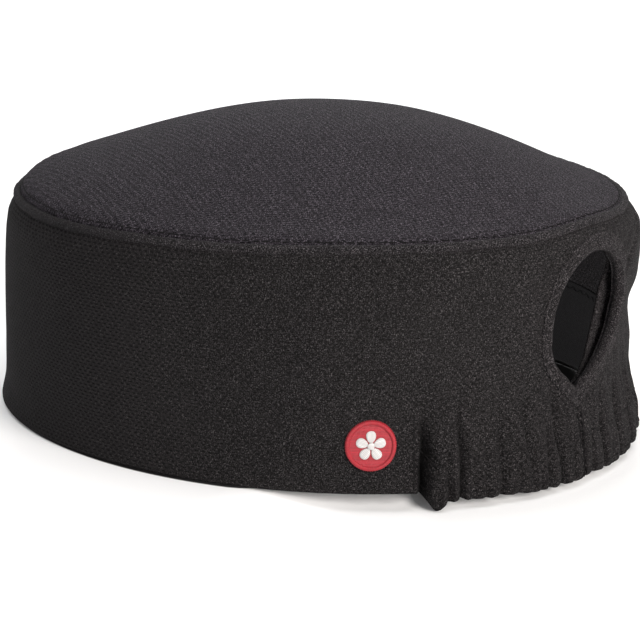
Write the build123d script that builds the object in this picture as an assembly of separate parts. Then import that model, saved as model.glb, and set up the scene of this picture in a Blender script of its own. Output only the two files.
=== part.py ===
from build123d import *
import math
import os

# Low chef's beanie (skull cap): a domed crown, a tall side band in layers, an
# elasticated back hem and a ponytail opening.  Millimetres, +Z up.
# Origin: centre of the head opening, in the plane of the hem.
# Front of the head is -Y, back (ponytail opening, elastic) is +Y,
# the wearer's left side (round badge) is +X.
# An "offset" is measured inwards from the band's outer surface; negative stands proud.

os.makedirs("parts", exist_ok=True)

# Outlines of the hem and of the crown seam
HEM_HALF_WIDTH = 85.6
HEM_HALF_LENGTH = 100.0
HEM_EGG = -0.015      # negative narrows the outline towards the back
SEAM_HALF_WIDTH = 82.7
SEAM_HALF_LENGTH = 90.5
SEAM_EGG = -0.085
SEAM_Y = 4.2          # the seam outline sits further back than the hem
SEAM_Z = 66.9
OUTLINE_EXPONENT = 2.05   # 2 is a plain ellipse
OUTLINE_POINTS = 24

# Layer thicknesses
CLOTH = 0.8           # outer knit
INTERFACING = 0.4
LINING = 0.8
SWEATBAND = 1.2
LABEL = 0.3
ELASTIC = 0.7
CASING = 0.65         # elastic's tunnel and back lining
FACING = 0.6          # facing of the ponytail opening
GAP = 0.08            # air between layers
SWEATBAND_GAP = 0.35  # the sweatband hangs loose
THREAD_R = 0.2        # half width of a thread

# Offsets of the layers' outer faces, from the cloth inwards
UNDER_CLOTH = CLOTH + GAP
LINING_OFF = UNDER_CLOTH + INTERFACING + GAP
SWEATBAND_OFF = LINING_OFF + LINING + SWEATBAND_GAP
LABEL_OFF = SWEATBAND_OFF + SWEATBAND + GAP
CASING_OFF = UNDER_CLOTH + ELASTIC + GAP

BAND_TOP = 63.0       # top edge of the band cloth, under the welt
TACK_Y = 79.0         # plane where the smooth front meets the gathered back
SPLIT = 0.25          # half gap at that plane
REACH = 130           # half size of the cutting blocks, beyond the cap


# ------------------------------------------------------------------ helpers
def egg_point(angle, half_width, half_length, centre_y, egg, z):
    """Point of an egg-shaped superellipse; the angle runs from +X towards +Y."""
    def powered(value):
        return math.copysign(abs(value) ** (2.0 / OUTLINE_EXPONENT), value)

    across, along = powered(math.cos(angle)), powered(math.sin(angle))
    return Vector(half_width * across * (1 + egg * along), centre_y + half_length * along, z)


def band_point(angle, z, offset):
    """Point of the band's wall, blended between the hem and seam outlines."""
    blend = z / SEAM_Z
    return egg_point(
        angle,
        HEM_HALF_WIDTH + (SEAM_HALF_WIDTH - HEM_HALF_WIDTH) * blend - offset,
        HEM_HALF_LENGTH + (SEAM_HALF_LENGTH - HEM_HALF_LENGTH) * blend - offset,
        SEAM_Y * blend,
        HEM_EGG + (SEAM_EGG - HEM_EGG) * blend,
        z,
    )


def closed_spline(point_at):
    """Closed wire through the points that point_at gives for evenly spaced angles."""
    angles = [2 * math.pi * (i + 0.5) / OUTLINE_POINTS for i in range(OUTLINE_POINTS)]
    return Wire([Edge.make_spline([point_at(angle) for angle in angles], periodic=True)])


def band_loop(z, offset):
    return Face(closed_spline(lambda angle: band_point(angle, z, offset))).outer_wire()


def stack(levels):
    """Solid through the band's outlines at each (height, offset), with straight walls."""
    return Solid.make_loft([band_loop(z, offset) for z, offset in levels], True)


def ring(outer, inner, bottom, top):
    """Closed strip between two offsets of the band."""
    body = stack([(bottom, outer), (top, outer)])
    return body - stack([(bottom - 1.0, inner), (top + 1.0, inner)])


def cord(offset, z):
    """Thread of square section laid round the band."""
    return ring(offset - THREAD_R, offset + THREAD_R, z - THREAD_R, z + THREAD_R)


def block(x=(-REACH, REACH), y=(-REACH, REACH), z=(-10, 120)):
    """Box given by its (low, high) limits."""
    centre = [(low + high) / 2 for low, high in (x, y, z)]
    return Pos(*centre) * Box(*[high - low for low, high in (x, y, z)])


def front_of(shape):
    return shape & block(y=(-REACH, TACK_Y - SPLIT))


def back_of(shape):
    return shape & block(y=(TACK_Y + SPLIT, REACH))


def frame_at(degrees, z, offset=0.0):
    """Plane on the band: x along the band, y up it, z outwards."""
    angle = math.radians(degrees)
    turn, rise = 1e-3, 0.1    # half steps for the two tangents
    along = band_point(angle + turn, z, offset) - band_point(angle - turn, z, offset)
    up = band_point(angle, z + rise, offset) - band_point(angle, z - rise, offset)
    return Plane(origin=band_point(angle, z, offset), x_dir=along.normalized(),
                 z_dir=along.normalized().cross(up.normalized()).normalized())


def save(name, *shapes):
    """Write the solids of the shapes, without boolean slivers, as one STEP file."""
    solids = [solid for shape in shapes for solid in shape.solids() if solid.volume > 1e-3]
    shape = solids[0] if len(solids) == 1 else Compound(children=solids)
    export_step(shape, "parts/" + name + ".step")


# -------------------------------------------------------------------- crown
DOME_RISE = 23.7      # above the seam
DOME_POWER = 1.656    # inner exponent of the profile
DOME_ROUNDING = 0.96  # outer exponent of the profile
DOME_STATIONS = [1.0, 0.86, 0.68, 0.48, 0.28, 0.13, 0.05]   # fractions of the seam outline
CROWN_OFF = 3.7       # the crown's edge is this far inside the seam outline
CROWN_T = 0.9
CROWN_LOW = 66.1


def dome_loop(fraction, z, offset):
    """The seam outline pulled in by offset, then shrunk to a fraction."""
    return closed_spline(lambda angle: egg_point(
        angle, (SEAM_HALF_WIDTH - offset) * fraction, (SEAM_HALF_LENGTH - offset) * fraction,
        SEAM_Y, SEAM_EGG * fraction, z))


def dome(offset, drop, bottom):
    """Solid dome, lowered by drop, on a short straight-walled foot."""
    wires = [dome_loop(1.0, bottom, offset)]
    for fraction in DOME_STATIONS:
        height = DOME_RISE * (1 - fraction ** DOME_POWER) ** DOME_ROUNDING
        wires.append(dome_loop(fraction, SEAM_Z + height - drop, offset))
    return Solid.make_loft(wires[:2], True) + Solid.make_loft(wires[1:], False)


save("crown_panel",
     dome(CROWN_OFF, 0.0, CROWN_LOW) - dome(CROWN_OFF + CROWN_T, CROWN_T, CROWN_LOW - 3.0))

# -------------------------------------------------- layers of the front band
SWEATBAND_LOW, SWEATBAND_HIGH = 3.0, 29.0

# name, offset of the outer face, thickness, bottom, top
FRONT_LAYERS = [
    ("band_front", 0.0, CLOTH, 0.0, BAND_TOP),
    ("band_interfacing", UNDER_CLOTH, INTERFACING, 1.2, BAND_TOP - 1.0),
    ("band_lining", LINING_OFF, LINING, 0.8, BAND_TOP),
    ("sweatband", SWEATBAND_OFF, SWEATBAND, SWEATBAND_LOW, SWEATBAND_HIGH),
]
for name, offset, thickness, bottom, top in FRONT_LAYERS:
    save(name, front_of(ring(offset, offset + thickness, bottom, top)))

# Thread just under the sweatband's top edge, clear of its inner face
save("sweatband_stitch",
     cord(LABEL_OFF + 0.25, SWEATBAND_HIGH - 1.6) & block(y=(-REACH, TACK_Y - 3.0)))

# --------------------------------------------------------------- crown welt
# The turned seam, proud of the band's top on both sides
WELT_Z = 65.0
WELT_HALF_HEIGHT = 1.5
WELT_OFF = 1.2        # offset of its middle
# height from the welt's middle, half thickness there
WELT_PROFILE = [(-WELT_HALF_HEIGHT, 0.55), (-0.9, 1.25), (0, 1.55), (0.9, 1.25),
                (WELT_HALF_HEIGHT, 0.55)]
# The hollow runs past both ends for a clean cut
HOLLOW_END = WELT_HALF_HEIGHT + 0.5
HOLLOW_PROFILE = [(-HOLLOW_END, 0.2), *WELT_PROFILE, (HOLLOW_END, 0.2)]

welt_body = stack([(WELT_Z + z, WELT_OFF - half) for z, half in WELT_PROFILE])
welt_hollow = stack([(WELT_Z + z, WELT_OFF + half) for z, half in HOLLOW_PROFILE])
save("crown_welt", welt_body - welt_hollow)
save("crown_seam_thread", cord(3.25, 66.2))

# -------------------------------------------------------------- round badge
BADGE_ANGLE = 44.3    # degrees from +X towards +Y
BADGE_Z = 13.6
BADGE_R = 6.7
BORDER_W = 1.0
BADGE_CLEARANCE = 0.05
GROUND_PROUD, BORDER_PROUD, MOTIF_PROUD = 1.0, 1.25, 1.40
FLOWER_EYE_R, PETAL_R, PETAL_RING_R, PETALS = 1.15, 1.45, 2.35, 5

badge_frame = frame_at(BADGE_ANGLE, BADGE_Z)


def badge_part(outer, inner, sketch):
    """Patch of a curved skin over the band, cut to a sketch on the badge's plane."""
    skin = ring(outer, inner, BADGE_Z - 13, BADGE_Z + 13) & (badge_frame * Box(40, 26, 12))
    return skin & (badge_frame * Pos(0, 0, -5) * extrude(sketch, amount=10))


flower = Circle(FLOWER_EYE_R)
for k in range(PETALS):
    turn = 2 * math.pi * k / PETALS
    flower += Pos(PETAL_RING_R * math.sin(turn), PETAL_RING_R * math.cos(turn)) * Circle(PETAL_R)

save("badge_ground",
     badge_part(-GROUND_PROUD, -GAP, Circle(BADGE_R - BORDER_W - BADGE_CLEARANCE)))
save("badge_border",
     badge_part(-BORDER_PROUD, -GAP, Circle(BADGE_R) - Circle(BADGE_R - BORDER_W)))
save("badge_motif", badge_part(-MOTIF_PROUD, -GROUND_PROUD - BADGE_CLEARANCE, flower))

# --------------------------------------------------------------- care label
# Inside the sweatband, on the wearer's right
LABEL_ANGLE = 172.0
LABEL_W = 24

label_frame = frame_at(LABEL_ANGLE, 14.5, LABEL_OFF)
save("care_label",
     ring(LABEL_OFF, LABEL_OFF + LABEL, 5.0, 24.5) & (label_frame * Box(LABEL_W, 60, 8)))

# ------------------------------------------------------------ elastic tacks
# Upright bars on the outside, one each side, just ahead of the split
save("elastic_tacks",
     ring(-0.6, -GAP, 1.5, 21.0) & block(y=(TACK_Y - 1.75, TACK_Y - 0.6)))

# ------------------------------------- back panel round the ponytail opening
HOLE_R = 16.5         # round top of the opening
HOLE_Z = 42.0         # centre of the round top
HOLE_TIP_Z = 22.4     # point of its V-shaped foot
CLOTH_MARGIN = 1.0    # the cloth's raw edge stands back from the opening
CENTRE_GAP = 0.04     # half gap between the two cloth halves
CASING_LOW, CASING_HIGH = 0.8, 15.8
LINING_LOW = CASING_HIGH + 0.3
FACING_W = 10.5       # outer edge of the facing, from the opening


def keyhole(grow):
    """Prism along Y of the opening's outline, grown all round."""
    start_y, end_y = 60.0, 125.0
    radius = HOLE_R + grow
    tip_depth = HOLE_Z - HOLE_TIP_Z
    tangent = math.asin(HOLE_R / tip_depth)
    side_x = radius * math.cos(tangent)
    side_z = HOLE_Z - radius * math.sin(tangent)
    tip = Vector(0, start_y, HOLE_Z - tip_depth * radius / HOLE_R)
    left, right = Vector(side_x, start_y, side_z), Vector(-side_x, start_y, side_z)
    outline = Wire([
        Edge.make_line(tip, left),
        Edge.make_three_point_arc(left, Vector(0, start_y, HOLE_Z + radius), right),
        Edge.make_line(right, tip),
    ])
    return extrude(Face(outline), amount=end_y - start_y, dir=(0, 1, 0))


cloth_hole = keyhole(CLOTH_MARGIN)

back_cloth = back_of(ring(0.0, CLOTH, 0.0, BAND_TOP)) - cloth_hole
save("band_back_left", back_cloth & block(x=(CENTRE_GAP, REACH)))
save("band_back_right", back_cloth & block(x=(-REACH, -CENTRE_GAP)))

save("back_elastic", back_of(ring(UNDER_CLOTH, UNDER_CLOTH + ELASTIC, 1.5, 10.3)))
save("back_casing",
     back_of(ring(CASING_OFF, CASING_OFF + CASING, CASING_LOW, CASING_HIGH)))
save("back_lining",
     back_of(ring(CASING_OFF, CASING_OFF + CASING, LINING_LOW, BAND_TOP)) - cloth_hole)

# Facing between the outer cloth and the back lining
facing_strip = ring(UNDER_CLOTH, UNDER_CLOTH + FACING, LINING_LOW, BAND_TOP)
save("keyhole_facing", back_of(facing_strip & (keyhole(FACING_W) - cloth_hole)))

# ------------------------------------------------------- binding and its stitch
# A folded U that holds the raw edges of the three layers
BIND_W = 3.2
BIND_PROUD = 0.7
BIND_LEG = 0.65       # thickness of the inner leg
BIND_LEG_OFF = CASING_OFF + CASING + 0.05
TOPSTITCH_GROW = 2.15     # from the opening's edge to the thread's middle
TOPSTITCH_OFF = -BIND_PROUD - 0.05 - THREAD_R

binding = (ring(-BIND_PROUD, BIND_LEG_OFF + BIND_LEG, 14.0, BAND_TOP)
           & (keyhole(BIND_W) - keyhole(0.0)))
slot = ring(-0.04, BIND_LEG_OFF, 12.0, BAND_TOP + 3.0) & (keyhole(BIND_W + 3.0) - keyhole(0.92))
save("keyhole_binding", binding - slot)
save("keyhole_topstitch",
     ring(TOPSTITCH_OFF - THREAD_R, TOPSTITCH_OFF + THREAD_R, 12.0, BAND_TOP)
     & (keyhole(TOPSTITCH_GROW + THREAD_R) - keyhole(TOPSTITCH_GROW - THREAD_R)))

# ------------------------------------------------------ threads on the back
BACK_THREAD_OFF = -0.3
SEAM_THREAD_X = 1.3   # the two upright threads lie this far from the centre
STITCH_BREAK = 2.4    # the level threads stop this far from the centre

for name, z in (("casing_stitch_upper", 11.2), ("casing_stitch_lower", 2.6)):
    thread = cord(BACK_THREAD_OFF, z) & block(y=(TACK_Y + 1.5, REACH))
    save(name, thread - block(x=(-STITCH_BREAK, STITCH_BREAK), y=(80, REACH)))

seam_skin = ring(BACK_THREAD_OFF - THREAD_R, BACK_THREAD_OFF + THREAD_R, 1.5, 15.2)
save("centre_back_seam",
     *[seam_skin & block(x=(x - THREAD_R, x + THREAD_R), y=(60, REACH))
       for x in (-SEAM_THREAD_X, SEAM_THREAD_X)])
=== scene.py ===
import bpy
import math
import numpy as np
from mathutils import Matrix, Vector


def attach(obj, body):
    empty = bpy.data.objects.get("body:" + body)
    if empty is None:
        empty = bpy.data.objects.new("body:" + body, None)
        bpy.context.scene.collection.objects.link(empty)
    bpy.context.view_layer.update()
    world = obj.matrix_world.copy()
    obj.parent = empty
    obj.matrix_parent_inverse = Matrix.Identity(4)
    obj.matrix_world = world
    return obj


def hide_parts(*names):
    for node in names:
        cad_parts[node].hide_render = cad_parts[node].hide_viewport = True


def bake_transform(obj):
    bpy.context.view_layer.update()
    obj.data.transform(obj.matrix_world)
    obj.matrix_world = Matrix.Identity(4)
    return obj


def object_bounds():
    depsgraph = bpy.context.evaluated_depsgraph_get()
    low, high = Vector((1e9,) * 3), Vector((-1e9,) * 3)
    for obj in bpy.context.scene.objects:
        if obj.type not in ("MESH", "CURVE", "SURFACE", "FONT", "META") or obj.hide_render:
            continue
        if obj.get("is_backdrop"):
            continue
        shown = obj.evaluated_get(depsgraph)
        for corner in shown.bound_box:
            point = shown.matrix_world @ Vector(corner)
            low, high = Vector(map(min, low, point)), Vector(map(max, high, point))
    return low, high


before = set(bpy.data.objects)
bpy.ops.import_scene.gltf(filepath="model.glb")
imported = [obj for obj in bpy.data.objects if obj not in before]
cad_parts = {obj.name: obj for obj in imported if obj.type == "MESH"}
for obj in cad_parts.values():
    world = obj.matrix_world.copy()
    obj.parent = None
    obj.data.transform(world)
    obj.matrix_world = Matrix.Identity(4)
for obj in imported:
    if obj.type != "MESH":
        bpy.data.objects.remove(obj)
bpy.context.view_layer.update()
RNG = np.random.RandomState(7)
MM = 0.001

# ---------------------------------------------------------------------------
# The cap's surfaces, in millimetres: t is the angle round the head (0 = wearer's
# left, 90 = centre back, 270 = front), z the height above the hem.
# ---------------------------------------------------------------------------
H = 66.9
A0, B0, E0 = 85.65, 100.0, -0.0154
A1, B1, E1, Y1 = 82.75, 90.49, -0.0846, 4.19
SQ = 2.0 / 2.054
TACK = 52.2                      # the elastic starts at this angle, and at 180 - TACK
BADGE_T, BADGE_Z = 44.3, 13.6


def ss(a, b, x):
    k = np.clip((np.asarray(x, float) - a) / (b - a), 0, 1)
    return k * k * (3 - 2 * k)


def wrap(d):
    return (np.asarray(d, float) + 180.0) % 360.0 - 180.0


def oval(t, z, off=0.0):
    """Plain outline of the band at height z, as three arrays."""
    t, z = np.broadcast_arrays(np.radians(np.asarray(t, float)), np.asarray(z, float))
    w = z / H
    a = A0 + (A1 - A0) * w - off
    b = B0 + (B1 - B0) * w - off
    e = E0 + (E1 - E0) * w
    c, s = np.cos(t), np.sin(t)
    cc = np.sign(c) * np.abs(c) ** SQ
    sn = np.sign(s) * np.abs(s) ** SQ
    return np.stack([a * cc * (1 + e * sn), Y1 * w + b * sn, z + 0 * w], -1)


def flat_normal(t, z):
    """Horizontal outward normal of the outline."""
    d = oval(np.asarray(t, float) + 0.05, z) - oval(np.asarray(t, float) - 0.05, z)
    n = np.stack([d[..., 1], -d[..., 0], 0 * d[..., 0]], -1)
    return n / np.linalg.norm(n, axis=-1, keepdims=True)


def fbm(x, y, z, seed=0, octaves=3):
    """Smooth repeatable noise from sums of sines, about -1 to 1."""
    r = np.random.RandomState(100 + seed)
    out, amp, tot, f = 0.0, 1.0, 0.0, 1.0
    for _ in range(octaves):
        for _ in range(4):
            k = r.normal(size=3) * f
            p = r.uniform(0, 2 * math.pi)
            out = out + amp * np.sin(k[0] * x + k[1] * y + k[2] * z + p) * 0.5
        tot += amp
        amp *= 0.5
        f *= 2.1
    return out / tot


# how far the cloth stands outside the plain outline, by height: sides, and back
Z_K = np.array([-6, 0, 2, 4, 8, 12, 20, 30, 40, 50, 56, 60, 62, 63.4, 64.3, 65.2])
SIDE = np.array([0.1, 0.1, 0.05, -0.1, -0.25, -0.05, 0.35, 1.0, 1.7, 2.25, 2.4, 2.3, 2.1, 1.75, 1.25, 0.1])
BACK = np.array([0.3, 0.3, 0.45, 0.55, 0.25, -0.4, -1.2, -0.4, 0.5, 2.3, 2.9, 2.8, 2.5, 2.0, 1.35, 0.1])


def stand(t, z):
    zz = np.clip(z, -6, 67)
    side = np.interp(zz, Z_K, SIDE)
    back = np.interp(zz, Z_K, BACK)
    d = np.abs(wrap(np.asarray(t, float) - 90.0))
    k = 1 - ss(30, 62, d)
    # a soft bulge under the seam, behind the wearer's right ear; the seam is nipped in at the left front
    bulge = 1.85 * np.exp(-(wrap(t - 121.5) / 13.0) ** 2) * ss(36, 46, z) * (1 - ss(58.5, 65, z))
    nip = 0.55 * np.exp(-(wrap(t + 32.0) / 34.0) ** 2) * ss(60.5, 63.0, z) * (1 - ss(64.2, 65.0, z))
    return side * (1 - k) + back * k + bulge - nip


# the crown seam isn't quite level: it dips at the wearer's left front and rises over the opening
RISE_T = np.array([-180, -90, -60, -35, -20, -10, 3, 16, 26, 37, 60, 77, 84, 90, 97, 104, 112, 130, 180])
RISE = np.array([0, -0.2, -0.6, -0.9, -1.2, -1.1, -0.7, -0.6, -0.15, 0.35, 0.5, 0.6, 1.2, 1.9, 1.6, 1.0, 0.5, 0.1, 0])


def rise(t):
    w = wrap(t)
    return (np.interp(w, RISE_T, RISE) + np.interp(wrap(t - 3.0), RISE_T, RISE) + np.interp(wrap(t + 3.0), RISE_T, RISE)) / 3


# creases of the gathered back: angle, width (deg), depth (mm), low end, high end (mm), slant (deg per mm)
CREASES = [
    (55.9, 0.70, 0.7, -6, 8.0, 0.03),
    (57.9, 0.60, 1.5, -6, 13.5, 0.02),
    (60.4, 0.50, 2.3, -6, 23.0, -0.015),
    (62.6, 0.55, 0.5, -6, 9.0, 0.03),
    (64.9, 0.60, 0.7, -6, 14.0, 0.03),
    (68.2, 1.35, 1.2, -6, 18.0, 0.02),
    (71.8, 0.65, 0.6, -6, 9.0, 0.04),
    (74.4, 0.75, 0.9, 2, 24.0, -0.04),
    (76.4, 0.55, 0.6, -6, 8.0, 0.03),
    (78.6, 0.65, 1.3, -6, 15.0, 0.02),
    (81.7, 0.55, 1.7, -6, 20.0, -0.05),
    (84.7, 0.55, 0.6, -6, 10.0, 0.02),
    (87.8, 0.42, 1.6, -6, 19.0, 0.0),
    (90.9, 0.60, 0.8, -6, 13.0, 0.03),
    (94.7, 0.60, 1.7, -6, 19.0, 0.05),
    (97.9, 0.60, 0.35, -6, 12.0, 0.03),
    (101.7, 0.80, 1.6, -6, 21.0, 0.05),
    (105.0, 0.60, 0.3, -6, 10.0, -0.02),
    (108.9, 0.80, 1.0, -6, 21.0, 0.03),
    (112.0, 0.60, 0.3, -6, 9.0, 0.02),
    (115.4, 1.10, 0.8, -6, 18.0, -0.03),
    (118.7, 0.60, 1.1, -6, 22.0, 0.02),
    (121.0, 0.60, 0.7, -6, 9.0, -0.02),
    (123.6, 0.70, 1.0, -6, 13.0, -0.03),
]
KNOTS = np.array([TACK + 0.6] + [c[0] for c in CREASES] + [180 - TACK - 0.6])
FULL = np.array([1.2, 0.6, 0.9, 0.7, 0.7, 1.3, 1.1, 0.8, 0.6, 0.9, 1.1, 0.9, 0.9, 0.7, 0.6, 0.5, 0.6, 0.5, 0.6, 0.5, 0.7, 0.7, 0.7, 0.7, 1.0])


def gathered(t):
    """1 inside the elastic's stretch of the hem, 0 outside."""
    d = np.abs(wrap(np.asarray(t, float) - 90.0))
    return 1 - ss(90 - TACK - 1.6, 90 - TACK + 0.2, d)


def pocket(t, z):
    """The deep pleat beside each tack: the smooth band ends in an edge and the gathered cloth starts behind it."""
    out = 0.0
    for side in (1, -1):
        tau = (np.asarray(t, float) - TACK - 0.15) if side == 1 else (180 - TACK - 0.15 - np.asarray(t, float))
        tau = tau - 0.10 * np.sin(z * 0.5 + side) - 0.03 * np.clip(z, 0, 12)
        wide = 2.3 + 1.5 * np.exp(-((z - 12.0) / 6.5) ** 2)
        deep = ss(-0.18, 0.70, tau) * (1 - ss(0.15, wide, tau)) * 1.25
        tall = (1 - ss(9.0, 25.0, z)) * (0.50 + 0.50 * ss(-5, 3, z))
        out = out - 3.7 * deep * tall
        # the fold that rolls out next to it, and the lip of the smooth band
        out = out + 1.15 * np.exp(-((tau - wide - 0.9) / 1.7) ** 2) * (1 - ss(3.0, 20.0, z))
        out = out + 0.12 * np.exp(-((tau + 0.9) / 1.1) ** 2) * (1 - ss(10.0, 20.0, z))
    return out


def crease_shade(t, z):
    """How deep a point lies in a crease, 0 to 1, for painted shade: the cloth's colour is darkened there, as such
    places hold less light.
    """
    t = np.asarray(t, float)
    z = np.asarray(z, float)
    tw = wrap(t - 90.0) + 90.0
    out = 0.0
    for c, w, d, lo, hi, sl in CREASES:
        ti = c + sl * (z - 5) + 0.22 * np.sin(z * 0.33 + c)
        env = (1 - ss(hi * 0.40, hi * 1.2 + 2, z)) * ss(lo - 3, lo + 3, z)
        out = out + 0.36 * d * env * np.exp(-(np.abs(wrap(t - ti)) / (w * 0.75)) ** 1.4)
    for side in (1, -1):
        tau = (tw - TACK - 0.15) if side == 1 else (180 - TACK - 0.15 - tw)
        tau = tau - 0.10 * np.sin(z * 0.5 + side) - 0.03 * np.clip(z, 0, 12)
        wide = 1.3 + 1.9 * np.exp(-((z - 12.0) / 6.5) ** 2)
        out = out + 1.15 * ss(-0.32, 0.02, tau) * (1 - ss(0.1, wide + 1.3, tau)) * (1 - ss(11.0, 26.0, z))
    return np.clip(out, 0, 0.95)


def folds(t, z):
    """Gathers of the back: outward displacement in mm."""
    t = np.asarray(t, float)
    z = np.asarray(z, float)
    tw = wrap(t - 90.0) + 90.0
    out = 0.0
    for c, w, d, lo, hi, sl in CREASES:
        ti = c + sl * (z - 5) + 0.22 * np.sin(z * 0.33 + c)
        env = (1 - ss(hi * 0.40, hi * 1.3 + 3, z)) * ss(lo - 3, lo + 3, z)
        width = w * (0.85 + 0.035 * np.clip(z, 0, 30))
        out = out - 1.05 * d * env * np.exp(-(np.abs(wrap(t - ti)) / width) ** 1.3)
    # rounded swells between the creases
    k = np.clip(np.searchsorted(KNOTS, tw + 0.12 * np.sin(z * 0.4)) - 1, 0, len(KNOTS) - 2)
    f = np.clip((tw - KNOTS[k]) / (KNOTS[k + 1] - KNOTS[k]), 0, 1)
    swell = FULL[k] * (1 - np.abs(2 * f - 1) ** 2.2) * 0.35
    low = 1 - ss(4, 20, z)
    puff = gathered(t) * ((1 - ss(8, 30, z)) * 0.55 + low * swell)
    # the tunnel's stitch rows hold the cloth in
    held = -0.12 * np.exp(-((z - 10.8) / 1.6) ** 2) * gathered(t)
    soft = 0.52 * fbm(t * 0.55, z * 0.10, 0, 3) * gathered(t) * (1 - ss(20, 45, z))
    soft = soft + 0.20 * fbm(t * 1.3, z * 0.35, 0, 4, 2) * gathered(t) * (1 - ss(14, 32, z))
    return out + puff + held + soft + pocket(tw, z)


def ripples(t, z):
    """Slow waviness of cloth that no longer lies quite flat."""
    a = np.radians(t)
    x, y = 85 * np.cos(a), 98 * np.sin(a)
    low = 0.42 * fbm(x * 0.030, y * 0.030, z * 0.035, 11, 2)
    fine = 0.10 * fbm(x * 0.16, y * 0.16, z * 0.13, 12, 2)
    seam = 0.09 * np.sin(t * 1.9 + 1.3 * np.sin(t * 0.37)) * ss(54, 62, z)
    # a soft upright bend ahead of the tack, and folds dragged from the tack towards the opening
    bend = 0.75 * np.exp(-(wrap(t - 34.5) / 4.6) ** 2) * ss(4, 16, z) * (1 - ss(50, 62, z))
    drag = 0.0
    for m in (1, -1):
        s_ = (wrap(t - 90.0) * m + 90.0 - TACK) * 1.5
        q = (z - 25.0) - 0.62 * (s_ - 5.0)
        along = ss(-4, 9, s_) * (1 - ss(26, 42, s_))
        drag = drag + 0.26 * np.cos(q * 2 * math.pi / 17.0 + 0.5 + 0.8 * np.sin(s_ * 0.12)) * np.exp(-(q / 12.0) ** 2) * along
    # a fold that runs from the opening's top up to the seam, and a shorter one beside it
    w = wrap(t - 90.0) + 90.0
    tuck = -0.95 * np.exp(-((z - 51.0 - (w - 107.0) * 0.92) * 0.865 / 1.25) ** 2) * ss(102.5, 107.5, w) * (1 - ss(117, 124, w))
    tuck = tuck - 0.45 * np.exp(-((z - 54.5 - (w - 100.5) * 0.55) * 0.93 / 1.1) ** 2) * ss(97, 101, w) * (1 - ss(106, 112, w))
    return (low + fine) * ss(-2, 10, z) * (1 - ss(58, 64, z)) + seam + bend + drag * ss(8, 18, z) + tuck * (1 - ss(61.0, 64.2, z))


def droop(t, z):
    """The elastic back hangs a little lower than the smooth front."""
    t = np.asarray(t, float)
    d = np.abs(wrap(t - 90.0))
    edge = 90 - TACK
    base = -2.8 * (1 - ss(edge - 4.2, edge - 0.1, d))
    bump = -2.45 * np.exp(-(np.abs(d - (edge - 3.4)) / 1.7) ** 1.7)
    sag = -0.75 * np.exp(-((np.abs(d) - 8.0) / 9.0) ** 2) * (1 - ss(0, 16, z))
    scallop = 0.0
    for c, w, dep, lo, hi, sl in CREASES:
        if lo < 0:
            scallop = scallop + 0.24 * dep * np.exp(-(np.abs(wrap(t - c)) / (w * 1.5)) ** 1.6)
    k = 1 - ss(2, 34, z)
    return (base + bump + sag + scallop * gathered(t) * (1 - ss(0, 9, z))) * k


def band_point(t, z, inward=0.0, fold=1.0, extra=0.0):
    """Point of the band cloth. inward moves it towards the head, fold scales the gathers."""
    t, z = np.broadcast_arrays(np.asarray(t, float), np.asarray(z, float))
    p = oval(t, z)
    n = flat_normal(t, z)
    out = stand(t, z) + ripples(t, z) + fold * folds(t, z) - inward + extra
    p = p + n * out[..., None]
    p[..., 2] = p[..., 2] + droop(t, z) + rise(t) * ss(34, 66, z)
    return p


def band_normal(t, z, **kw):
    e = 0.12
    a = band_point(np.asarray(t) + e, z, **kw) - band_point(np.asarray(t) - e, z, **kw)
    b = band_point(t, np.asarray(z) + 0.15, **kw) - band_point(t, np.asarray(z) - 0.15, **kw)
    n = np.cross(a, b)
    return n / np.maximum(np.linalg.norm(n, axis=-1, keepdims=True), 1e-9)


# ---------------------------------------------------------------------------
# the ponytail opening, in the (x, z) plane of the back
# ---------------------------------------------------------------------------
HR, HZ, HTIP = 16.4, 42.0, 22.2


def hole_outline(n=200, grow=0.0):
    """Closed drop shape, evenly spaced, starting at its foot and going anticlockwise seen from behind."""
    r = HR + grow
    d = (HZ - HTIP) * (r / HR)
    al = math.asin(r / d)
    pts = []
    a0 = -math.pi / 2 + (math.pi / 2 - al)
    tip = np.array([0.0, HZ - d])
    tr = np.array([r * math.cos(a0), HZ + r * math.sin(a0)])
    for k in range(60):
        pts.append(tip + (tr - tip) * k / 60)
    for k in range(400):
        a = a0 + (2 * math.pi - 2 * (math.pi / 2 - al)) * k / 400
        pts.append(np.array([r * math.cos(a), HZ + r * math.sin(a)]))
    tl = np.array([-tr[0], tr[1]])
    for k in range(60):
        pts.append(tl + (tip - tl) * k / 60)
    p = np.array(pts)
    # round the point of the foot a little
    for _ in range(14):
        p = (np.roll(p, 1, 0) + 2 * p + np.roll(p, -1, 0)) / 4
    seg = np.linalg.norm(np.roll(p, -1, 0) - p, axis=1)
    s = np.concatenate([[0], np.cumsum(seg)])
    q = np.vstack([p, p[:1]])
    want = np.linspace(0, s[-1], n, endpoint=False)
    out = np.stack([np.interp(want, s, q[:, 0]), np.interp(want, s, q[:, 1])], -1)
    return lean(out)


def lean(p):
    """The soft opening leans: its foot is drawn to the wearer's left."""
    q = p.copy()
    q[:, 0] = q[:, 0] - 2.4 + 6.2 * (1 - ss(20, 44, q[:, 1]))
    return q


def t_of_x(x, z):
    """Angle round the head of the band's point with that x, on the back."""
    x = np.asarray(x, float)
    t = np.degrees(np.arccos(np.clip(x / 80.0, -0.99, 0.99)))
    for _ in range(12):
        f = oval(t, z)[..., 0] - x
        g = (oval(t + 0.05, z)[..., 0] - oval(t - 0.05, z)[..., 0]) / 0.1
        t = t - f / g
    return t


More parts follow.
